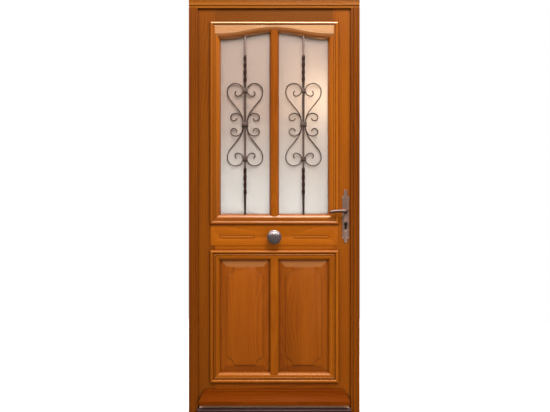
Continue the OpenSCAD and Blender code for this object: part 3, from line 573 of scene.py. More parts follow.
# %% Upright sides of the upper surround
for side, out in (("left", -X), ("right", X)):
    node = "moulding_upper_" + side
    foot = out * OPEN_X + Z * (UP_0 - MOULD)
    spots = section_at(upper_section, foot, out)
    piece = drawn(node + "_run", spots)
    rise = Z * (SPRING_Z - UP_0 + MOULD)
    push(rise)
    spots = [spot + rise for spot in spots]
    ends = [SPRING_Z + u * MM if u < OVOLO_U and v > -14 else FLAT_Z + u * MM
            for u, v in upper_section]
    shift_each(spots, [Z * (end - SPRING_Z) for end in ends])
    saw(out * OPEN_X + Z * UP_0, -Z - out)
    finished(piece, "leaf", [node], moulding_wood["upper_" + side])

# %% [markdown]
# ## Muntins
# A muntin carries the same ovolo on both edges with a flat between them. Its ends run on into
# the surround, where the two ovolos cut each other in a natural mitre.

# %% Muntins
def muntin_section(half, foot, flat_level):
    """Half a muntin, from its edge to the flat, with a small quirk before the flat."""
    curve = [(foot - (foot - 2) * math.cos(math.radians(a)),
              -12.5 + (flat_level - 1 + 12.5) * math.sin(math.radians(a)))
             for a in range(0, 91, 10)]
    edge = [(0, -15), (0, -12.5)] + curve + [(foot + 0.4, flat_level - 1), (foot + 1, flat_level)]
    right = [(half - u, v) for u, v in edge]
    return right + [(-x, v) for x, v in reversed(right)]


muntin_wood = varnished("muntin wood", "z", 0.95, 1.0, 0.25)
for name, half, foot, level, z_0, z_1 in (
        ("muntin_upper", 25, 15, 9, UP_0 - 17 * MM, arch(0) + 17 * MM),
        ("muntin_lower", 26, 9, 8, LOW_0 - 15 * MM, LOW_1 + 15 * MM)):
    section = muntin_section(half, foot, level)
    piece = drawn(name + "_run", [Vector((x * MM, Y_LEAF - v * MM, z_0)) for x, v in section])
    push(Z * (z_1 - z_0))
    finished(piece, "leaf", [name], muntin_wood, smooth=20)
    # the strip between the two panes, which shows inside
    core = drawn(name + "_core", [(x * MM, y, low(name, 2)) for x, y in
                                  ((-8, Y_GLASS), (8, Y_GLASS), (8, Y_IN), (-8, Y_IN))])
    push(Z * (high(name, 2) - low(name, 2)))
    finished(core, "leaf", [], muntin_wood, 1.5 * MM)

# %% [markdown]
# ## Raised and fielded panels
# A panel starts as a board held loose in its groove. Its face is planed down in a slope on all
# four sides, and a field with scooped corners stands proud in the middle. Here the board's face
# is inset to the edge of its groove and raised, and inset again with a rise, which makes the slope.
# The field is drawn as its own thin piece and laid on.

# %% Panels
PANEL_IN, SLOPE, FIELD_UP = 12 * MM, 35 * MM, 2 * MM
GROOVE_GAP, RIM_UP, RIM, SLOPE_UP = 0.3 * MM, 2 * MM, 2.5 * MM, 7.5 * MM
Y_FIELD = Y_LEAF + 4 * MM
CLIP_X, CLIP_Z, SCOOP = 40, 60, 36


def field_corners(x0, x1, z0, z1):
    """The outline of a field whose four corners are clipped and scooped."""
    def corner(cx, cz, sx, sz):
        # from the clipped point on the level edge, round the scoop, to the upright edge
        points = [(CLIP_X, 0), (SCOOP, 3)]
        for i in range(1, 6):
            t = math.radians(8 + 74 * i / 6)
            points.append((SCOOP * math.cos(t), SCOOP * math.sin(t) + 3))
        points += [(3, SCOOP + 4), (2.2, SCOOP + 12), (0, CLIP_Z)]
        return [(cx + sx * u * MM, cz + sz * w * MM) for u, w in points]
    return [corner(x1, z0, -1, 1), reversed(corner(x1, z1, -1, -1)), corner(x0, z1, 1, -1),
            reversed(corner(x0, z0, 1, 1))]


def bleached_slopes(wood):
    """Painted light on a panel: slopes that look up are painted lighter, as if lit from above, and
    slopes that turn aside or look down are painted darker, as shade.
    """
    tree = wood.node_tree
    shader = tree.nodes["Principled BSDF"]
    normal = put(tree, "NewGeometry").outputs["True Normal"]
    normal = put(tree, "VectorTransform", {0: normal}, vector_type="NORMAL", convert_from="WORLD",
                 convert_to="OBJECT").outputs[0]
    facing = put(tree, "SeparateXYZ", {0: normal}).outputs
    level, front = facing[2], put(tree, "Math", {0: facing[1]}, operation="ABSOLUTE").outputs[0]
    colour = shader.inputs["Base Color"].links[0].from_socket
    # painted shade on slopes that turn aside, painted light on slopes that look up, painted shade on
    # slopes that look down
    tilted = rescale(tree, front, 0.955, 0.985, 0.3, 0.0)
    looks_up = rescale(tree, level, 0.1, 0.2, 0.0, 0.28)
    looks_down = rescale(tree, level, -0.2, -0.1, 0.3, 0.0)
    colour = blend_colour(tree, tilted, colour, (0.13, 0.024, 0.001, 1))
    colour = blend_colour(tree, looks_up, colour, (0.66, 0.33, 0.13, 1))
    colour = blend_colour(tree, looks_down, colour, (0.12, 0.02, 0.001, 1))
    tree.links.new(colour, shader.inputs["Base Color"])

# %% Both panels
for side, sign, tone in (("left", -1, 1.0), ("right", 1, 0.9)):
    x0, x1 = sorted((sign * 26 * MM, sign * OPEN_X))
    rim = [(x0 - PANEL_IN, LOW_0 - PANEL_IN), (x1 + PANEL_IN, LOW_0 - PANEL_IN),
           (x1 + PANEL_IN, LOW_1 + PANEL_IN), (x0 - PANEL_IN, LOW_1 + PANEL_IN)]
    panel = drawn("panel_" + side + "_board", [(x, high("glass_left", 1), z) for x, z in rim])
    push(-Y * (high("glass_left", 1) - Y_GLASS))
    bpy.ops.mesh.normals_make_consistent(inside=False)
    pick(lambda f: f.calc_center_median().y + panel.location.y < Y_GLASS + MM, "FACE")
    bpy.ops.mesh.inset(thickness=PANEL_IN + GROOVE_GAP, depth=0)
    push(-Y * RIM_UP)
    bpy.ops.mesh.inset(thickness=RIM, depth=0)
    bpy.ops.mesh.inset(thickness=SLOPE - 4 * MM, depth=SLOPE_UP)
    wood = varnished("panel wood " + side, "z", tone * 0.96, 0.94, 0.2, 0.5, gloss=0.4)
    # painted light and shade on the panel's slopes
    bleached_slopes(wood)
    finished(panel, "leaf", ["panel_" + side], wood, 0.5 * MM)
    outline = field_corners(x0 + SLOPE, x1 - SLOPE, LOW_0 + SLOPE, LOW_1 - SLOPE)
    spots = [(x, Y_FIELD + 0.5 * MM, z) for loop in outline for x, z in loop]
    field = drawn("panel_" + side + "_field", spots)
    push(-Y * (FIELD_UP + 0.5 * MM))
    finished(field, "leaf", [], wood, 0.9 * MM)

# %% [markdown]
# ## Lock rail
# The rail at hand height has a raised face with two fluted slots, and a dowel hole above each
# one. The slots are cut with a cutter of their own shape, and a rounded bead is laid in each.

# %% Lock rail
rail_low, rail_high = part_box("lock_rail")
RAISED = 3 * MM
Y_RAIL = Y_LEAF - RAISED
FLUTE_Z, FLUTE_R = 925 * MM, 5 * MM
FLUTE_IN, FLUTE_OUT = 110 * MM, OUT_X - 50 * MM
HOLE_X, HOLE_Z, HOLE_R = 190 * MM, 970 * MM, 2.5 * MM
rail_wood = varnished("lock rail wood", "x", 1.16, 1.0, 0.14, 0.35)


def slot_outline(grow, y):
    """A long slot with round ends."""
    points = []
    for x, a in ((FLUTE_OUT - FLUTE_R, -90), (FLUTE_IN, 90)):
        points += [(u, y, w) for u, w in arc((x, FLUTE_Z), FLUTE_R + grow, a, a + 180, 8)]
    return points


def cut_away(piece, cutter):
    """Subtracts a cutter from a piece and throws the cutter away."""
    choose(piece)
    cut = piece.modifiers.new("cut", "BOOLEAN")
    cut.operation, cut.object, cut.solver = "DIFFERENCE", cutter, "EXACT"
    bpy.ops.object.modifier_apply(modifier=cut.name)
    bpy.data.objects.remove(cutter)

# %% The rail and its raised face
half = OPEN_X + 28 * MM
rail = drawn("lock_rail_board", [(-half, Y_IN, rail_low[2]), (half, Y_IN, rail_low[2]),
                                 (half, Y_IN, rail_high[2]), (-half, Y_IN, rail_high[2])])
push(-Y * (Y_IN - Y_LEAF))
finished(rail, "leaf", ["lock_rail"], rail_wood, 0.6 * MM)
face_x, face_z0, face_z1 = OUT_X - 3 * MM, 880 * MM, 992.5 * MM
face = drawn("lock_rail_face", [(-face_x, Y_LEAF + MM, face_z0), (face_x, Y_LEAF + MM, face_z0),
                                (face_x, Y_LEAF + MM, face_z1), (-face_x, Y_LEAF + MM, face_z1)])
push(-Y * (RAISED + MM))
outward()
for sign in (-1, 1):
    outline = slot_outline(2.5 * MM, Y_RAIL - 5 * MM)
    cutter = drawn("slot_cutter", [(sign * x, y, z) for x, y, z in outline])
    push(Y * 7 * MM)
    outward()
    cut_away(face, cutter)
    bpy.ops.mesh.primitive_cylinder_add(vertices=24, radius=HOLE_R, depth=20 * MM,
                                        location=(sign * HOLE_X, Y_RAIL, HOLE_Z),
                                        rotation=(math.pi / 2, 0, 0))
    cut_away(face, bpy.context.object)
finished(face, "leaf", [], rail_wood, 1.0 * MM)

# %% Beads in the slots
for sign, side in ((-1, "left"), (1, "right")):
    outline = slot_outline(0, Y_RAIL + 2.5 * MM)
    bead = drawn("flute_bead_" + side, [(sign * x, y, z) for x, y, z in outline])
    push(-Y * 2.4 * MM)
    bpy.ops.mesh.inset(thickness=2 * MM, depth=0)
    bpy.ops.transform.translate(value=-Y * 1.2 * MM)
    finished(bead, "leaf", [], rail_wood, 0.7 * MM)

# %% [markdown]
# ## Weather bar
# At the foot an applied board throws rain clear of the threshold. It is one run section with a
# slightly hollow slope above its upright nose and a drip groove below. Over the nose its ends are
# sawn so that they lean in towards the middle.

# %% Weather bar
bar_low, bar_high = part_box("weather_bar")
BAR_UPRIGHT, BAR_END = 22 * MM, 33 * MM
DRIP_IN, DRIP_R = 22 * MM, 4 * MM
HOLLOW = 0.4                    # 0 is a straight slope, 1 is a full quarter-round hollow
top, bottom, front = bar_high[2], bar_low[2], bar_low[1]
section = [(Y_LEAF, bottom), (Y_LEAF - 18 * MM, bottom)]
section += arc((Y_LEAF - DRIP_IN, bottom), DRIP_R, 0, 180, 6)
section += [(front, bottom), (front, bottom + BAR_UPRIGHT)]
section += [(front + 3.5 * MM, bottom + BAR_UPRIGHT + 4.5 * MM)]
for a in range(0, 91, 10):
    t = math.radians(a)
    straight = (1 - HOLLOW) * a / 90
    run_in, rise = HOLLOW * math.sin(t) + straight, HOLLOW * (1 - math.cos(t)) + straight
    section.append((front + (5 + 17 * run_in) * MM, bottom + (28 + 42 * rise) * MM))
section += [(Y_LEAF - 15 * MM, top - 5 * MM), (Y_LEAF - 9 * MM, top), (Y_LEAF, top)]
bar = drawn("weather_bar_run", [(bar_low[0], y, z) for y, z in section])
push(X * (bar_high[0] - bar_low[0]))
for sign in (-1, 1):
    shoulder = Vector((sign * bar_high[0], 0, bottom + BAR_UPRIGHT))
    saw(shoulder, Vector((sign * (top - bottom - BAR_UPRIGHT), 0, BAR_END)))
bar_wood = varnished("weather bar wood", "x", 0.52, 0.75, 0.2, gloss=0)
bar_wood.node_tree.nodes["Principled BSDF"].inputs["Specular IOR Level"].default_value = 0.05
finished(bar, "leaf", ["weather_bar"], bar_wood, 1.2 * MM)

# %% [markdown]
# ## Threshold
# The leaf shuts above a bronze-coloured metal threshold with a ribbed tread, and an aluminium
# lip stands on it to stop water. All are drawn sections, so they are run like the wood. Metal
# wears where it is touched: one group lays a patina in patches and rubs it off the edges.

# %% Metal patina
tree, given, end = new_group("worn metal", {"Vector": None, "Metal": (0.5, 0.5, 0.5, 1),
                                            "Patina": (0.1, 0.08, 0.07, 1), "Cover": 0.5,
                                            "Grain": 60.0, "Polish": 0.3, "Dull": 0.6},
                             ["Color", "Roughness", "Height", "Metallic"])
cloud = noise(tree, given["Vector"], 45.0, 4.0, 0.6)
speck = noise(tree, given["Vector"], given["Grain"], 3.0, 0.65)
cover = combine(tree, combine(tree, cloud, 0.6), combine(tree, speck, 0.4), "ADD")
cover = rescale(tree, cover, 0.35, 0.65)
rubbed = put(tree, "Bevel", {"Radius": 1.2 * MM}, samples=4).outputs[0]
facing = put(tree, "NewGeometry").outputs["Normal"]
edge = put(tree, "VectorMath", {0: rubbed, 1: facing}, operation="DOT_PRODUCT").outputs["Value"]
bare = rescale(tree, edge, 0.86, 0.995, 1.0, 0.0)
cover = combine(tree, combine(tree, cover, given["Cover"]), combine(tree, 1.0, bare, "SUBTRACT"))
give(tree, end, Color=blend_colour(tree, cover, given["Metal"], given["Patina"]),
     Roughness=put(tree, "Mix", {0: cover, 2: given["Polish"], 3: given["Dull"]}).outputs[0],
     Height=speck, Metallic=rescale(tree, cover, 0.0, 1.0, 0.8, 0.35))
worn_metal = tree
print("worn metal", len(tree.nodes), "nodes")


def metal(name, bright, patina, cover=0.6, polish=0.3, dull=0.55, grain=300.0, depth=0.15, crevice_shade=0.7):
    """A metal whose patina lies in patches and is rubbed off along the edges, with painted shade in
    its crevices.
    """
    material, tree, shader = base_material(name, {})
    place = put(tree, "TexCoord").outputs["Object"]
    skin = group(tree, worn_metal, {"Vector": place, "Metal": bright + (1,), "Patina": patina + (1,),
                                    "Cover": cover, "Grain": grain, "Polish": polish, "Dull": dull})
    # painted shade darkens the metal in its crevices
    shade = group(tree, painted_crevice_shade, {"Base": skin["Color"], "Shade Colour": (0.012, 0.008, 0.006, 1),
                                       "Reach": 0.006, "Amount": crevice_shade})
    for place_in, socket in (("Base Color", shade["Color"]), ("Roughness", skin["Roughness"]),
                             ("Metallic", skin["Metallic"])):
        tree.links.new(socket, shader.inputs[place_in])
    bump(tree, shader, skin["Height"], depth * MM)
    return material

# %% Metals
bronze_tread = metal("bronze tread", (0.062, 0.028, 0.027), (0.03, 0.014, 0.014), 0.6, 0.45, 0.65)
aluminium = metal("mill aluminium", (1.0, 0.72, 0.5), (0.95, 0.5, 0.3), 0.5, 0.4, 0.55)
brass = metal("brass", (0.62, 0.42, 0.17), (0.28, 0.17, 0.07), 0.5, 0.22, 0.45)
steel = metal("zinc plated steel", (0.55, 0.55, 0.56), (0.3, 0.3, 0.31), 0.5, 0.25, 0.45)
print("metals", [m.name for m in (bronze_tread, aluminium, brass, steel)])

# %% Tread
sill_low, sill_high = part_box("threshold")
lip_low, lip_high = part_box("threshold_lip")
SILL = sill_high[2]
Y_STOP = lip_high[1]
nose_y = sill_low[1]
FRONT_X, BACK_X = 404 * MM, sill_high[0]
tread = [(Y_STOP, 0), (Y_STOP, SILL), (-34 * MM, SILL)]
slope = Vector((nose_y + 34 * MM, -9 * MM))
for i in range(3):
    a, b = 0.16 + 0.26 * i, 0.25 + 0.26 * i
    for t, dip in ((a, 0), (a + 0.02, 1.2), (b, 1.2), (b + 0.02, 0)):
        tread.append((-34 * MM + slope[0] * t, SILL + slope[1] * t - dip * MM))
tread += [(nose_y + 0.8 * MM, SILL - 9 * MM), (nose_y, SILL - 10.5 * MM), (nose_y, 0)]
sill = drawn("threshold_tread", [(-FRONT_X, y, z) for y, z in tread])
push(X * 2 * FRONT_X)
finished(sill, "frame", ["threshold"], bronze_tread, 0.3 * MM)

# %% The threshold's inner half
back = [(Y_STOP, 0), (sill_high[1], 0), (sill_high[1], SILL - MM), (sill_high[1] - MM, SILL)]
for y in (25, 19, 13, -4, -10):
    back += [(u * MM, SILL - dip * MM) for u, dip in ((y, 0), (y, 1.2), (y - 3, 1.2), (y - 3, 0))]
back += [(Y_STOP, SILL)]
inner_sill = drawn("threshold_back", [(-BACK_X, y, z) for y, z in back])
push(X * 2 * BACK_X)
finished(inner_sill, "frame", [], bronze_tread, 0.3 * MM)

# %% Aluminium lip
lip = [(Y_STOP, SILL), (Y_STOP, lip_high[2] - 2 * MM), (Y_STOP - MM, lip_high[2]),
       (Y_STOP - 3 * MM, lip_high[2]), (Y_STOP - 4 * MM, lip_high[2] - MM),
       (Y_STOP - 4 * MM, lip_high[2] - 5 * MM), (Y_STOP - 3.2 * MM, lip_high[2] - 5.6 * MM),
       (Y_STOP - 3.2 * MM, SILL + 3 * MM), (Y_STOP - 4.5 * MM, SILL + 2 * MM),
       (lip_low[1] + MM, SILL + 2 * MM), (lip_low[1], SILL + MM), (lip_low[1], SILL)]
lip_piece = drawn("threshold_lip_run", [(lip_low[0], y, z) for y, z in lip])
push(X * (lip_high[0] - lip_low[0]))
finished(lip_piece, "frame", ["threshold_lip"], aluminium, 0.3 * MM)

# %% Brass and steel parts that keep their shape
dress(brass, "hinge_frame_flap_bottom", "hinge_frame_flap_middle", "hinge_frame_flap_top",
      "hinge_leaf_flap_bottom", "hinge_leaf_flap_middle", "hinge_leaf_flap_top", "hinge_washers",
      "lock_faceplate", "knob_bolt", "cylinder_body")
dress(steel, "hinge_pins", "strike_plate", "frame_screws", "leaf_screws", "lock_case", "spindle",
      "lock_follower", "latch_bolt", "dead_bolt", "cylinder_plug", "glass_spacers")

# %% [markdown]
# ## Wrought-iron grilles
# A smith draws a square bar, twists two stretches of it, curls flat bar into scrolls and
# clamps everything with collars. The bar is pushed up in short steps that turn as they go. Each
# scroll is a chain of arcs, every arc spun about its own centre so that it leaves the last one
# without a kink. One scroll of each kind is made and mirrored to four, and the finished grille
# is copied for the other pane.

# %% Iron
iron = metal("forged iron", (0.10, 0.062, 0.052), (0.045, 0.022, 0.018), 0.65, 0.38, 0.6, 260.0,
             0.25, 0.5)
GRILLE_Z = UP_0 + 473 * MM
GRILLE_Y = Y_GLASS - 9 * MM
BAR = 10 * MM
TWISTS = (296 * MM, -300 * MM)
TWIST_L, TWIST_STEPS = 150 * MM, 24
SWELL = 1.28                    # twisting upsets the bar, so it grows a little thicker

# the twisted stretches keep a darker, redder fire scale than the plain bar
tree = iron.node_tree
shader = tree.nodes["Principled BSDF"]
level = put(tree, "SeparateXYZ", {0: put(tree, "TexCoord").outputs["Object"]}).outputs[2]
scale = None
for middle in TWISTS:
    away = combine(tree, level, GRILLE_Z + middle, "SUBTRACT")
    away = put(tree, "Math", {0: away}, operation="ABSOLUTE").outputs[0]
    near = rescale(tree, away, TWIST_L * 0.47, TWIST_L * 0.53, 1.0, 0.0)
    scale = near if scale is None else combine(tree, scale, near, "MAXIMUM")
bare = shader.inputs["Base Color"].links[0].from_socket
tree.links.new(blend_colour(tree, combine(tree, scale, 0.8), bare, (0.045, 0.012, 0.01, 1)),
               shader.inputs["Base Color"])

# %% Curling a bar
def spun_arc(place, heading, radius, turn, steps):
    """Spins the selected face round its next centre; turn is in degrees, positive to the left.
    Returns the new place and heading in the grille's plane."""
    side = 1 if turn > 0 else -1
    centre = (place[0] - side * radius * heading[1], place[1] + side * radius * heading[0])
    angle = math.radians(turn)
    bpy.ops.mesh.spin(steps=steps, angle=abs(angle), center=(centre[0], 0, centre[1]),
                      axis=(0, side, 0))
    dx, dz = place[0] - centre[0], place[1] - centre[1]
    c, s = math.cos(angle), math.sin(angle)
    place = (centre[0] + dx * c - dz * s, centre[1] + dx * s + dz * c)
    return place, (heading[0] * c - heading[1] * s, heading[0] * s + heading[1] * c)


def scroll(name, chain):
    """A curled bar as a list of (radius in mm, turn in degrees). Turn 0 is a straight, and its
    first number is a length. The tip is forged thinner."""
    place, heading = (10 * MM, 8 * MM), (0.0, 1.0)
    half_t, half_d = 2.7 * MM, 4 * MM
    piece = drawn(name, [(place[0] + a * half_t, b * half_d, place[1]) for a, b in
                         ((-1, -1), (1, -1), (1, 1), (-1, 1))])
    for radius, turn in chain:
        if turn:
            steps = max(3, round(abs(turn) / 9))
            place, heading = spun_arc(place, heading, radius * MM, turn, steps)
        else:
            step = Vector((heading[0], 0, heading[1])) * radius * MM
            push(step)
            place = (place[0] + step.x, place[1] + step.z)
    bpy.ops.transform.resize(value=(0.7, 0.7, 0.7), center_override=(place[0], 0, place[1]))
    outward()
    bpy.ops.object.transform_apply(location=True)
    print(name, "ends at", [round(v / MM, 1) for v in place])
    return piece


def mirrored(piece):
    """Repeats a quarter to the other side and upside down."""
    bpy.context.view_layer.objects.active = piece
    mirror = piece.modifiers.new("mirror", "MIRROR")
    mirror.use_axis = (True, False, True)
    mirror.use_mirror_merge = False
    bpy.ops.object.modifier_apply(modifier=mirror.name)
    edit()
    outward()

# %% Scrolls
pieces = [scroll("large_scroll", [(107, -39), (69, 0), (74, 39), (43, 147), (31, 117), (14, 162)]),
          scroll("small_scroll", [(69, -32), (33, -99), (18, -115), (16, -110)])]
for piece in pieces:
    mirrored(piece)

# %% Twisted bar
low_end, high_end = UP_0 - 6 * MM - GRILLE_Z, arch(PANE_X) + 6 * MM - GRILLE_Z
h = BAR / 2
bar = drawn("grille_bar", [(-h, -h, low_end), (h, -h, low_end), (h, h, low_end), (-h, h, low_end)])
level = low_end
for middle in sorted(TWISTS):
    start = middle - TWIST_L / 2
    push(Z * (start - level))
    bpy.ops.transform.resize(value=(SWELL, SWELL, 1), center_override=(0, 0, start))
    for i in range(TWIST_STEPS):
        push(Z * TWIST_L / TWIST_STEPS)
        bpy.ops.transform.rotate(value=math.radians(360 / TWIST_STEPS), orient_axis="Z",
                                 center_override=(0, 0, 0))
    level = start + TWIST_L
    bpy.ops.transform.resize(value=(1 / SWELL, 1 / SWELL, 1), center_override=(0, 0, level))
push(Z * (high_end - level))
outward()
bpy.ops.object.transform_apply(location=True)
pieces.append(bar)

# %% Collars
for middle, wide, tall in ((0, 35, 26), (179, 25, 22), (-182, 28, 26)):
    w, t, d = wide / 2 * MM, tall / 2 * MM, 8 * MM
    right = [(w - 2 * MM, -t), (w, -t + 3 * MM), (w, -2.4 * MM), (w - 1.4 * MM, -1.2 * MM),
             (w - 1.4 * MM, 1.2 * MM), (w, 2.4 * MM), (w, t - 3 * MM), (w - 2 * MM, t)]
    shape = right + [(-x, z) for x, z in reversed(right)]
    collar = drawn("collar", [(x, d, z + middle * MM) for x, z in shape])
    push(-Y * 2 * d)
    outward()
    bpy.ops.object.transform_apply(location=True)
    pieces.append(collar)

# %% Both grilles
choose(bar, *pieces)
bpy.ops.object.join()
bar.name = "grille_right_work"
bpy.ops.transform.translate(value=(PANE_X, GRILLE_Y, GRILLE_Z))
bpy.ops.object.duplicate(linked=False)
other = bpy.context.object
other.name = "grille_left_work"
bpy.ops.transform.translate(value=(-2 * PANE_X, 0, 0))
finished(bar, "leaf", ["grille_right"], iron, 0.8 * MM, smooth=40)
finished(other, "leaf", ["grille_left"], iron, 0.8 * MM, smooth=40)

# %% [markdown]
# ## Pull knob
# The knob is cast and polished: a waisted neck, a rolled rim and a low dome. Half its outline is
# drawn and spun round the knob's axis, and a fine hammering is pressed into it.

# %% Turned pieces
def turned(name, outline, axis_point, axis, steps=64):
    """Spins an open line of (radius, distance) points round an axis and closes the seam."""
    axis = Vector(axis)
    side = Z if abs(axis.z) < 0.5 else X
    spots = [Vector(axis_point) + side * r * MM + axis * d * MM for r, d in outline]
    piece = drawn(name, spots, fill=False)
    bpy.ops.mesh.spin(steps=steps, angle=2 * math.pi, center=axis_point, axis=axis)
    bpy.ops.mesh.select_all(action="SELECT")
    bpy.ops.mesh.remove_doubles(threshold=0.02 * MM)
    bpy.ops.mesh.normals_make_consistent(inside=False)
    return piece

# %% Knob and rose
polished = metal("polished dark iron", (0.30, 0.25, 0.25), (0.10, 0.065, 0.065), 0.35, 0.2, 0.4,
                 150.0, 0.12, 0.6)
rose_iron = metal("rose iron", (0.09, 0.06, 0.055), (0.03, 0.018, 0.016), 0.6, 0.35, 0.6, 260.0, 0.2)
knob_low, knob_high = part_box("pull_knob")
knob_axis = (0, 0, (knob_low[2] + knob_high[2]) / 2)
neck = [(0, 26), (17, 26.8), (17, 29), (15, 31), (12.5, 38), (13, 46), (17, 52), (26, 56), (34, 58)]
rim = [(37, 59.6), (38, 61.5), (37.6, 63.6), (36.2, 64.8), (35, 65), (34.2, 66)]
dome = [(34 * math.cos(math.radians(a)), 66.6 + 14.2 * math.sin(math.radians(a)))
        for a in range(4, 90, 5)]      # all as (radius, distance from the leaf's face)
knob = turned("pull_knob_head", neck + rim + dome + [(0, 80.8)], knob_axis, -Y)
leave()
bpy.ops.object.transform_apply(location=True)
hammer = bpy.data.textures.new("hammer marks", "VORONOI")
hammer.noise_scale = 9 * MM
pressed = knob.modifiers.new("hammering", "DISPLACE")
pressed.texture, pressed.strength, pressed.mid_level = hammer, 0.7 * MM, 0.9
pressed.texture_coords = "LOCAL"
bpy.ops.object.modifier_apply(modifier=pressed.name)
finished(knob, "leaf", ["pull_knob"], polished, smooth=50)
rose = turned("knob_rose_plate", [(0, 21), (31, 21), (31, 23.2), (29.6, 24.6), (27, 24.8), (26.4, 26),
                                  (24, 27), (0, 27)], knob_axis, -Y)
finished(rose, "leaf", ["knob_rose"], rose_iron, 0.3 * MM, smooth=35)

# %% [markdown]
# ## Lock furniture
# Both faces of the leaf carry the same long backplate with eared ends, a lever and a raised
# shield round the cylinder. Everything is drawn once in terms of a distance out of the face,
# and that distance is counted from the outside face first and from the inside face next.

# %% Shapes and metals of the furniture
patinated = metal("aged bronze", (0.5, 0.32, 0.255), (0.255, 0.147, 0.108), 0.6, 0.3, 0.5, 220.0,
                  0.2, 0.6)
lever_metal = metal("handled bronze", (0.2, 0.12, 0.10), (0.08, 0.045, 0.04), 0.45, 0.34, 0.5, 220.0,
                    0.15, 0.6)
# near black, as painted shade inside the keyhole
keyhole_shade_bronze = metal("bronze painted as keyhole shade", (0.02, 0.013, 0.011), (0.01, 0.006, 0.005), 0.5, 0.35, 0.6)
LOCK_X = 378
LEVER_Z, CYL_Z, PLATE_0, PLATE_1 = 1063, 993, 893.5, 1176
SCREW_ZS = (PLATE_0 + 31, PLATE_1 - 44)
half_plate = (arc((0, PLATE_1 - 10), 10, 90, 0, 8) + [(10, PLATE_1 - 29), (11, PLATE_1 - 33)]
              + arc((13, PLATE_1 - 44), 8, 90, -42, 8) + [(18.4, PLATE_1 - 54), (18.4, PLATE_0 + 42)]
              + arc((13, PLATE_0 + 31), 8, 42, -90, 8) + [(11, PLATE_0 + 20), (10, PLATE_0 + 16)]
              + arc((0, PLATE_0 + 10), 10, 0, -90, 8))
plate_shape = half_plate + [(-x, z) for x, z in reversed(half_plate[1:-1])]
half_shield = (arc((0, CYL_Z + 1), 13.5, 90, 0, 8)
               + [(13.5, CYL_Z - 20), (11, CYL_Z - 29), (0, CYL_Z - 41)])
shield_shape = half_shield + [(-x, z) for x, z in reversed(half_shield[1:-1])]
# the lever's middle line: across, out of the face, up, and how thick it is there
lever_path = [(0, 1, 0, 8), (0, 20, 0, 8), (-0.5, 33, 0, 8.6), (-6, 39.5, 0, 8.4),
              (-20, 40.5, 0.5, 6.6), (-42, 40.5, 0.5, 6), (-66, 40, -1, 6.6),
              (-81, 39, -3.5, 6.6), (-88, 38.5, -5, 4.6)]
THICKER = 1.12                  # rounding takes some off, so the skin starts thicker


def on_face(face, out):
    """Places on one face of the leaf: across from the lock's line, up, and out of the face."""
    return lambda x, z, depth: Vector(((LOCK_X + x) * MM, face, z * MM)) + out * depth * MM

# %% Backplate
def backplate(spot, out, side):
    plate = drawn("backplate_" + side, [spot(x, z, 0) for x, z in plate_shape])
    push(out * 1.7 * MM)
    bpy.ops.mesh.inset(thickness=1.3 * MM, depth=0)
    bpy.ops.transform.translate(value=out * 1.3 * MM)
    bpy.ops.mesh.inset(thickness=1.8 * MM, depth=0)
    bpy.ops.mesh.inset(thickness=0.5 * MM, depth=0)
    bpy.ops.transform.translate(value=out * -0.6 * MM)
    outward()
    bpy.ops.mesh.primitive_cylinder_add(vertices=48, radius=8.3 * MM, depth=30 * MM,
                                        location=spot(0, LEVER_Z, 0), rotation=(math.pi / 2, 0, 0))
    cut_away(plate, bpy.context.object)
    finished(plate, "leaf", ["handle_plate_" + side], patinated, 0.25 * MM)

# %% Keyhole shield
def keyhole_shield(spot, out, side):
    shield = drawn("keyhole_shield_" + side, [spot(x, z, 1) for x, z in shield_shape])
    push(out * 3 * MM)
    bpy.ops.mesh.inset(thickness=2.2 * MM, depth=0)
    bpy.ops.transform.translate(value=out * -1.4 * MM)
    finished(shield, "leaf", [], patinated, 0.5 * MM)

# %% Slotted screws
def plate_screws(spot, out, side):
    heads = []
    for z in SCREW_ZS:
        screw = turned("screw", [(0, 0.5), (3.8, 0.5), (3.8, 2.8), (3.2, 3.8), (1.8, 4.4), (0, 4.6)],
                       spot(0, z, 0), out, 24)
        leave()
        slot = drawn("slot", [spot(x, z + w, 3.6) for x, w in
                              ((-0.5, -5), (0.5, -5), (0.5, 5), (-0.5, 5))])
        push(out * 3 * MM)
        outward()
        cut_away(screw, slot)
        heads.append(screw)
    choose(*heads)
    bpy.ops.object.join()
    heads[0].name = "plate_screws_" + side
    finished(heads[0], "leaf", ["handle_plate_screws"], patinated, 0.15 * MM)

# %% [markdown]
# ### Lever
# A cast lever swells at its neck and thins towards the tip. A line of points with a thickness at
# each one gets a skin, and subdivision rounds it. The arm beyond the neck is then pressed taller
# and a little shallower, and a turned ring closes the neck against the backplate.

# %% Lever
def lever_and_ring(spot, out, side):
    middles = [spot(x, LEVER_Z + z, depth) for x, depth, z, thick in lever_path]
    lever = drawn("lever_arm_" + side, middles, fill=False)
    leave()
    skin = lever.modifiers.new("skin", "SKIN")
    for vertex, point in zip(lever.data.skin_vertices[0].data, lever_path):
        vertex.radius = [point[3] * THICKER * MM] * 2
    lever.data.skin_vertices[0].data[0].use_root = True
    bpy.ops.object.modifier_apply(modifier=skin.name)
    rounded = lever.modifiers.new("rounding", "SUBSURF")
    rounded.levels = rounded.render_levels = 3
    bpy.ops.object.modifier_apply(modifier=rounded.name)
    edit()
    pick(lambda v: (v.co + lever.location).x < (LOCK_X - 14) * MM)
    bpy.ops.transform.resize(value=(1, 0.95, 1.3), center_override=spot(-40, LEVER_Z + 2, 40))
    leave()
    bpy.ops.object.transform_apply(location=True)
    ring = turned("lever_ring", [(7, 3.2), (11.6, 3.2), (12, 5), (11.4, 7.6), (10, 8.8),
                                 (9.2, 11), (7.4, 12)], spot(0, LEVER_Z, 0), out, 40)
    leave()
    choose(lever, ring)
    bpy.ops.object.join()
    finished(lever, "levers", ["lever_" + side], lever_metal, smooth=50)

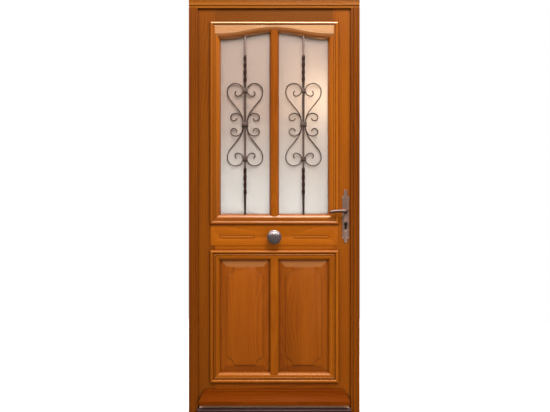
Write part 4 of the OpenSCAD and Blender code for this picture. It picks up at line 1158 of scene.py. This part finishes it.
# %% Both faces
for face, out, side in ((Y_LEAF, -Y, "outside"), (Y_IN, Y, "inside")):
    for make in (backplate, keyhole_shield, plate_screws, lever_and_ring):
        make(on_face(face, out), out, side)
# the cylinder is painted near black, as the shade inside the keyhole
dress(keyhole_shade_bronze, "cylinder_body", "cylinder_plug")

# %% [markdown]
# ## Hinge tips
# The lift-off hinges show only inside. Each barrel ends in a small turned tip: the lower ones
# stay with the frame and the upper ones travel with the leaf.

# %% Tips
HINGE_X, HINGE_Y = -418 * MM, 46 * MM      # the line that the leaf turns about
tip_outline = [(0, -1), (7.3, -0.5), (7.3, 0.6), (5.2, 1.4), (5.0, 2.2), (6.0, 4), (5.6, 6.4),
               (3.4, 8.4), (1.4, 9.2), (0, 9.4)]
for name in ("bottom", "middle", "top"):
    for body, z, way in (("frame", low("hinge_frame_flap_" + name, 2), -Z),
                         ("leaf", high("hinge_leaf_flap_" + name, 2), Z)):
        tip = turned("hinge_tip_" + body + "_" + name, tip_outline,
                     Vector((HINGE_X, HINGE_Y, z)), way, 28)
        finished(tip, body, [], brass, smooth=40)

# %% [markdown]
# ## Glass and rubber
# The sealed unit has frosted glass: it lets light through but no shapes. Its roughness carries a
# fine texture, and its tint is painted darker and warmer towards the top, as painted shade. The
# seals are matt dark rubber with a little bloom.

# %% Glass
frosted, tree, shader = base_material("frosted glass", {
    "Transmission Weight": 0.75, "IOR": 1.45, "Specular IOR Level": 0.4})
place = put(tree, "TexCoord").outputs["Object"]
cloud = rescale(tree, noise(tree, place, 2.2, 2.0), 0.35, 0.65)
level = put(tree, "SeparateXYZ", {0: place}).outputs[2]
# painted shade: the tint grows darker and warmer with height, in cloudy patches
glass_top_shade = combine(tree, rescale(tree, level, 1.1, 1.75), combine(tree, cloud, 0.25), "ADD")
tint = blend_colour(tree, glass_top_shade, (0.85, 0.85, 0.84, 1), (0.75, 0.64, 0.575, 1))
tree.links.new(tint, shader.inputs["Base Color"])
etch = noise(tree, place, 900.0, 2.0)
tree.links.new(rescale(tree, etch, 0.3, 0.7, 0.5, 0.68), shader.inputs["Roughness"])
bump(tree, shader, etch, 0.0002)
dress(frosted, "glass_left", "glass_right")

# %% Rubber
rubber, tree, shader = base_material("seal rubber", {"Specular IOR Level": 0.3})
place = put(tree, "TexCoord").outputs["Object"]
bloom = rescale(tree, noise(tree, place, 60.0, 3.0), 0.35, 0.7)
tree.links.new(blend_colour(tree, bloom, (0.018, 0.016, 0.015, 1), (0.04, 0.036, 0.033, 1)),
               shader.inputs["Base Color"])
tree.links.new(rescale(tree, bloom, 0, 1, 0.6, 0.8), shader.inputs["Roughness"])
bump(tree, shader, noise(tree, place, 700.0, 2.0), 0.0001)
dress(rubber, "frame_seal", "bottom_seal")
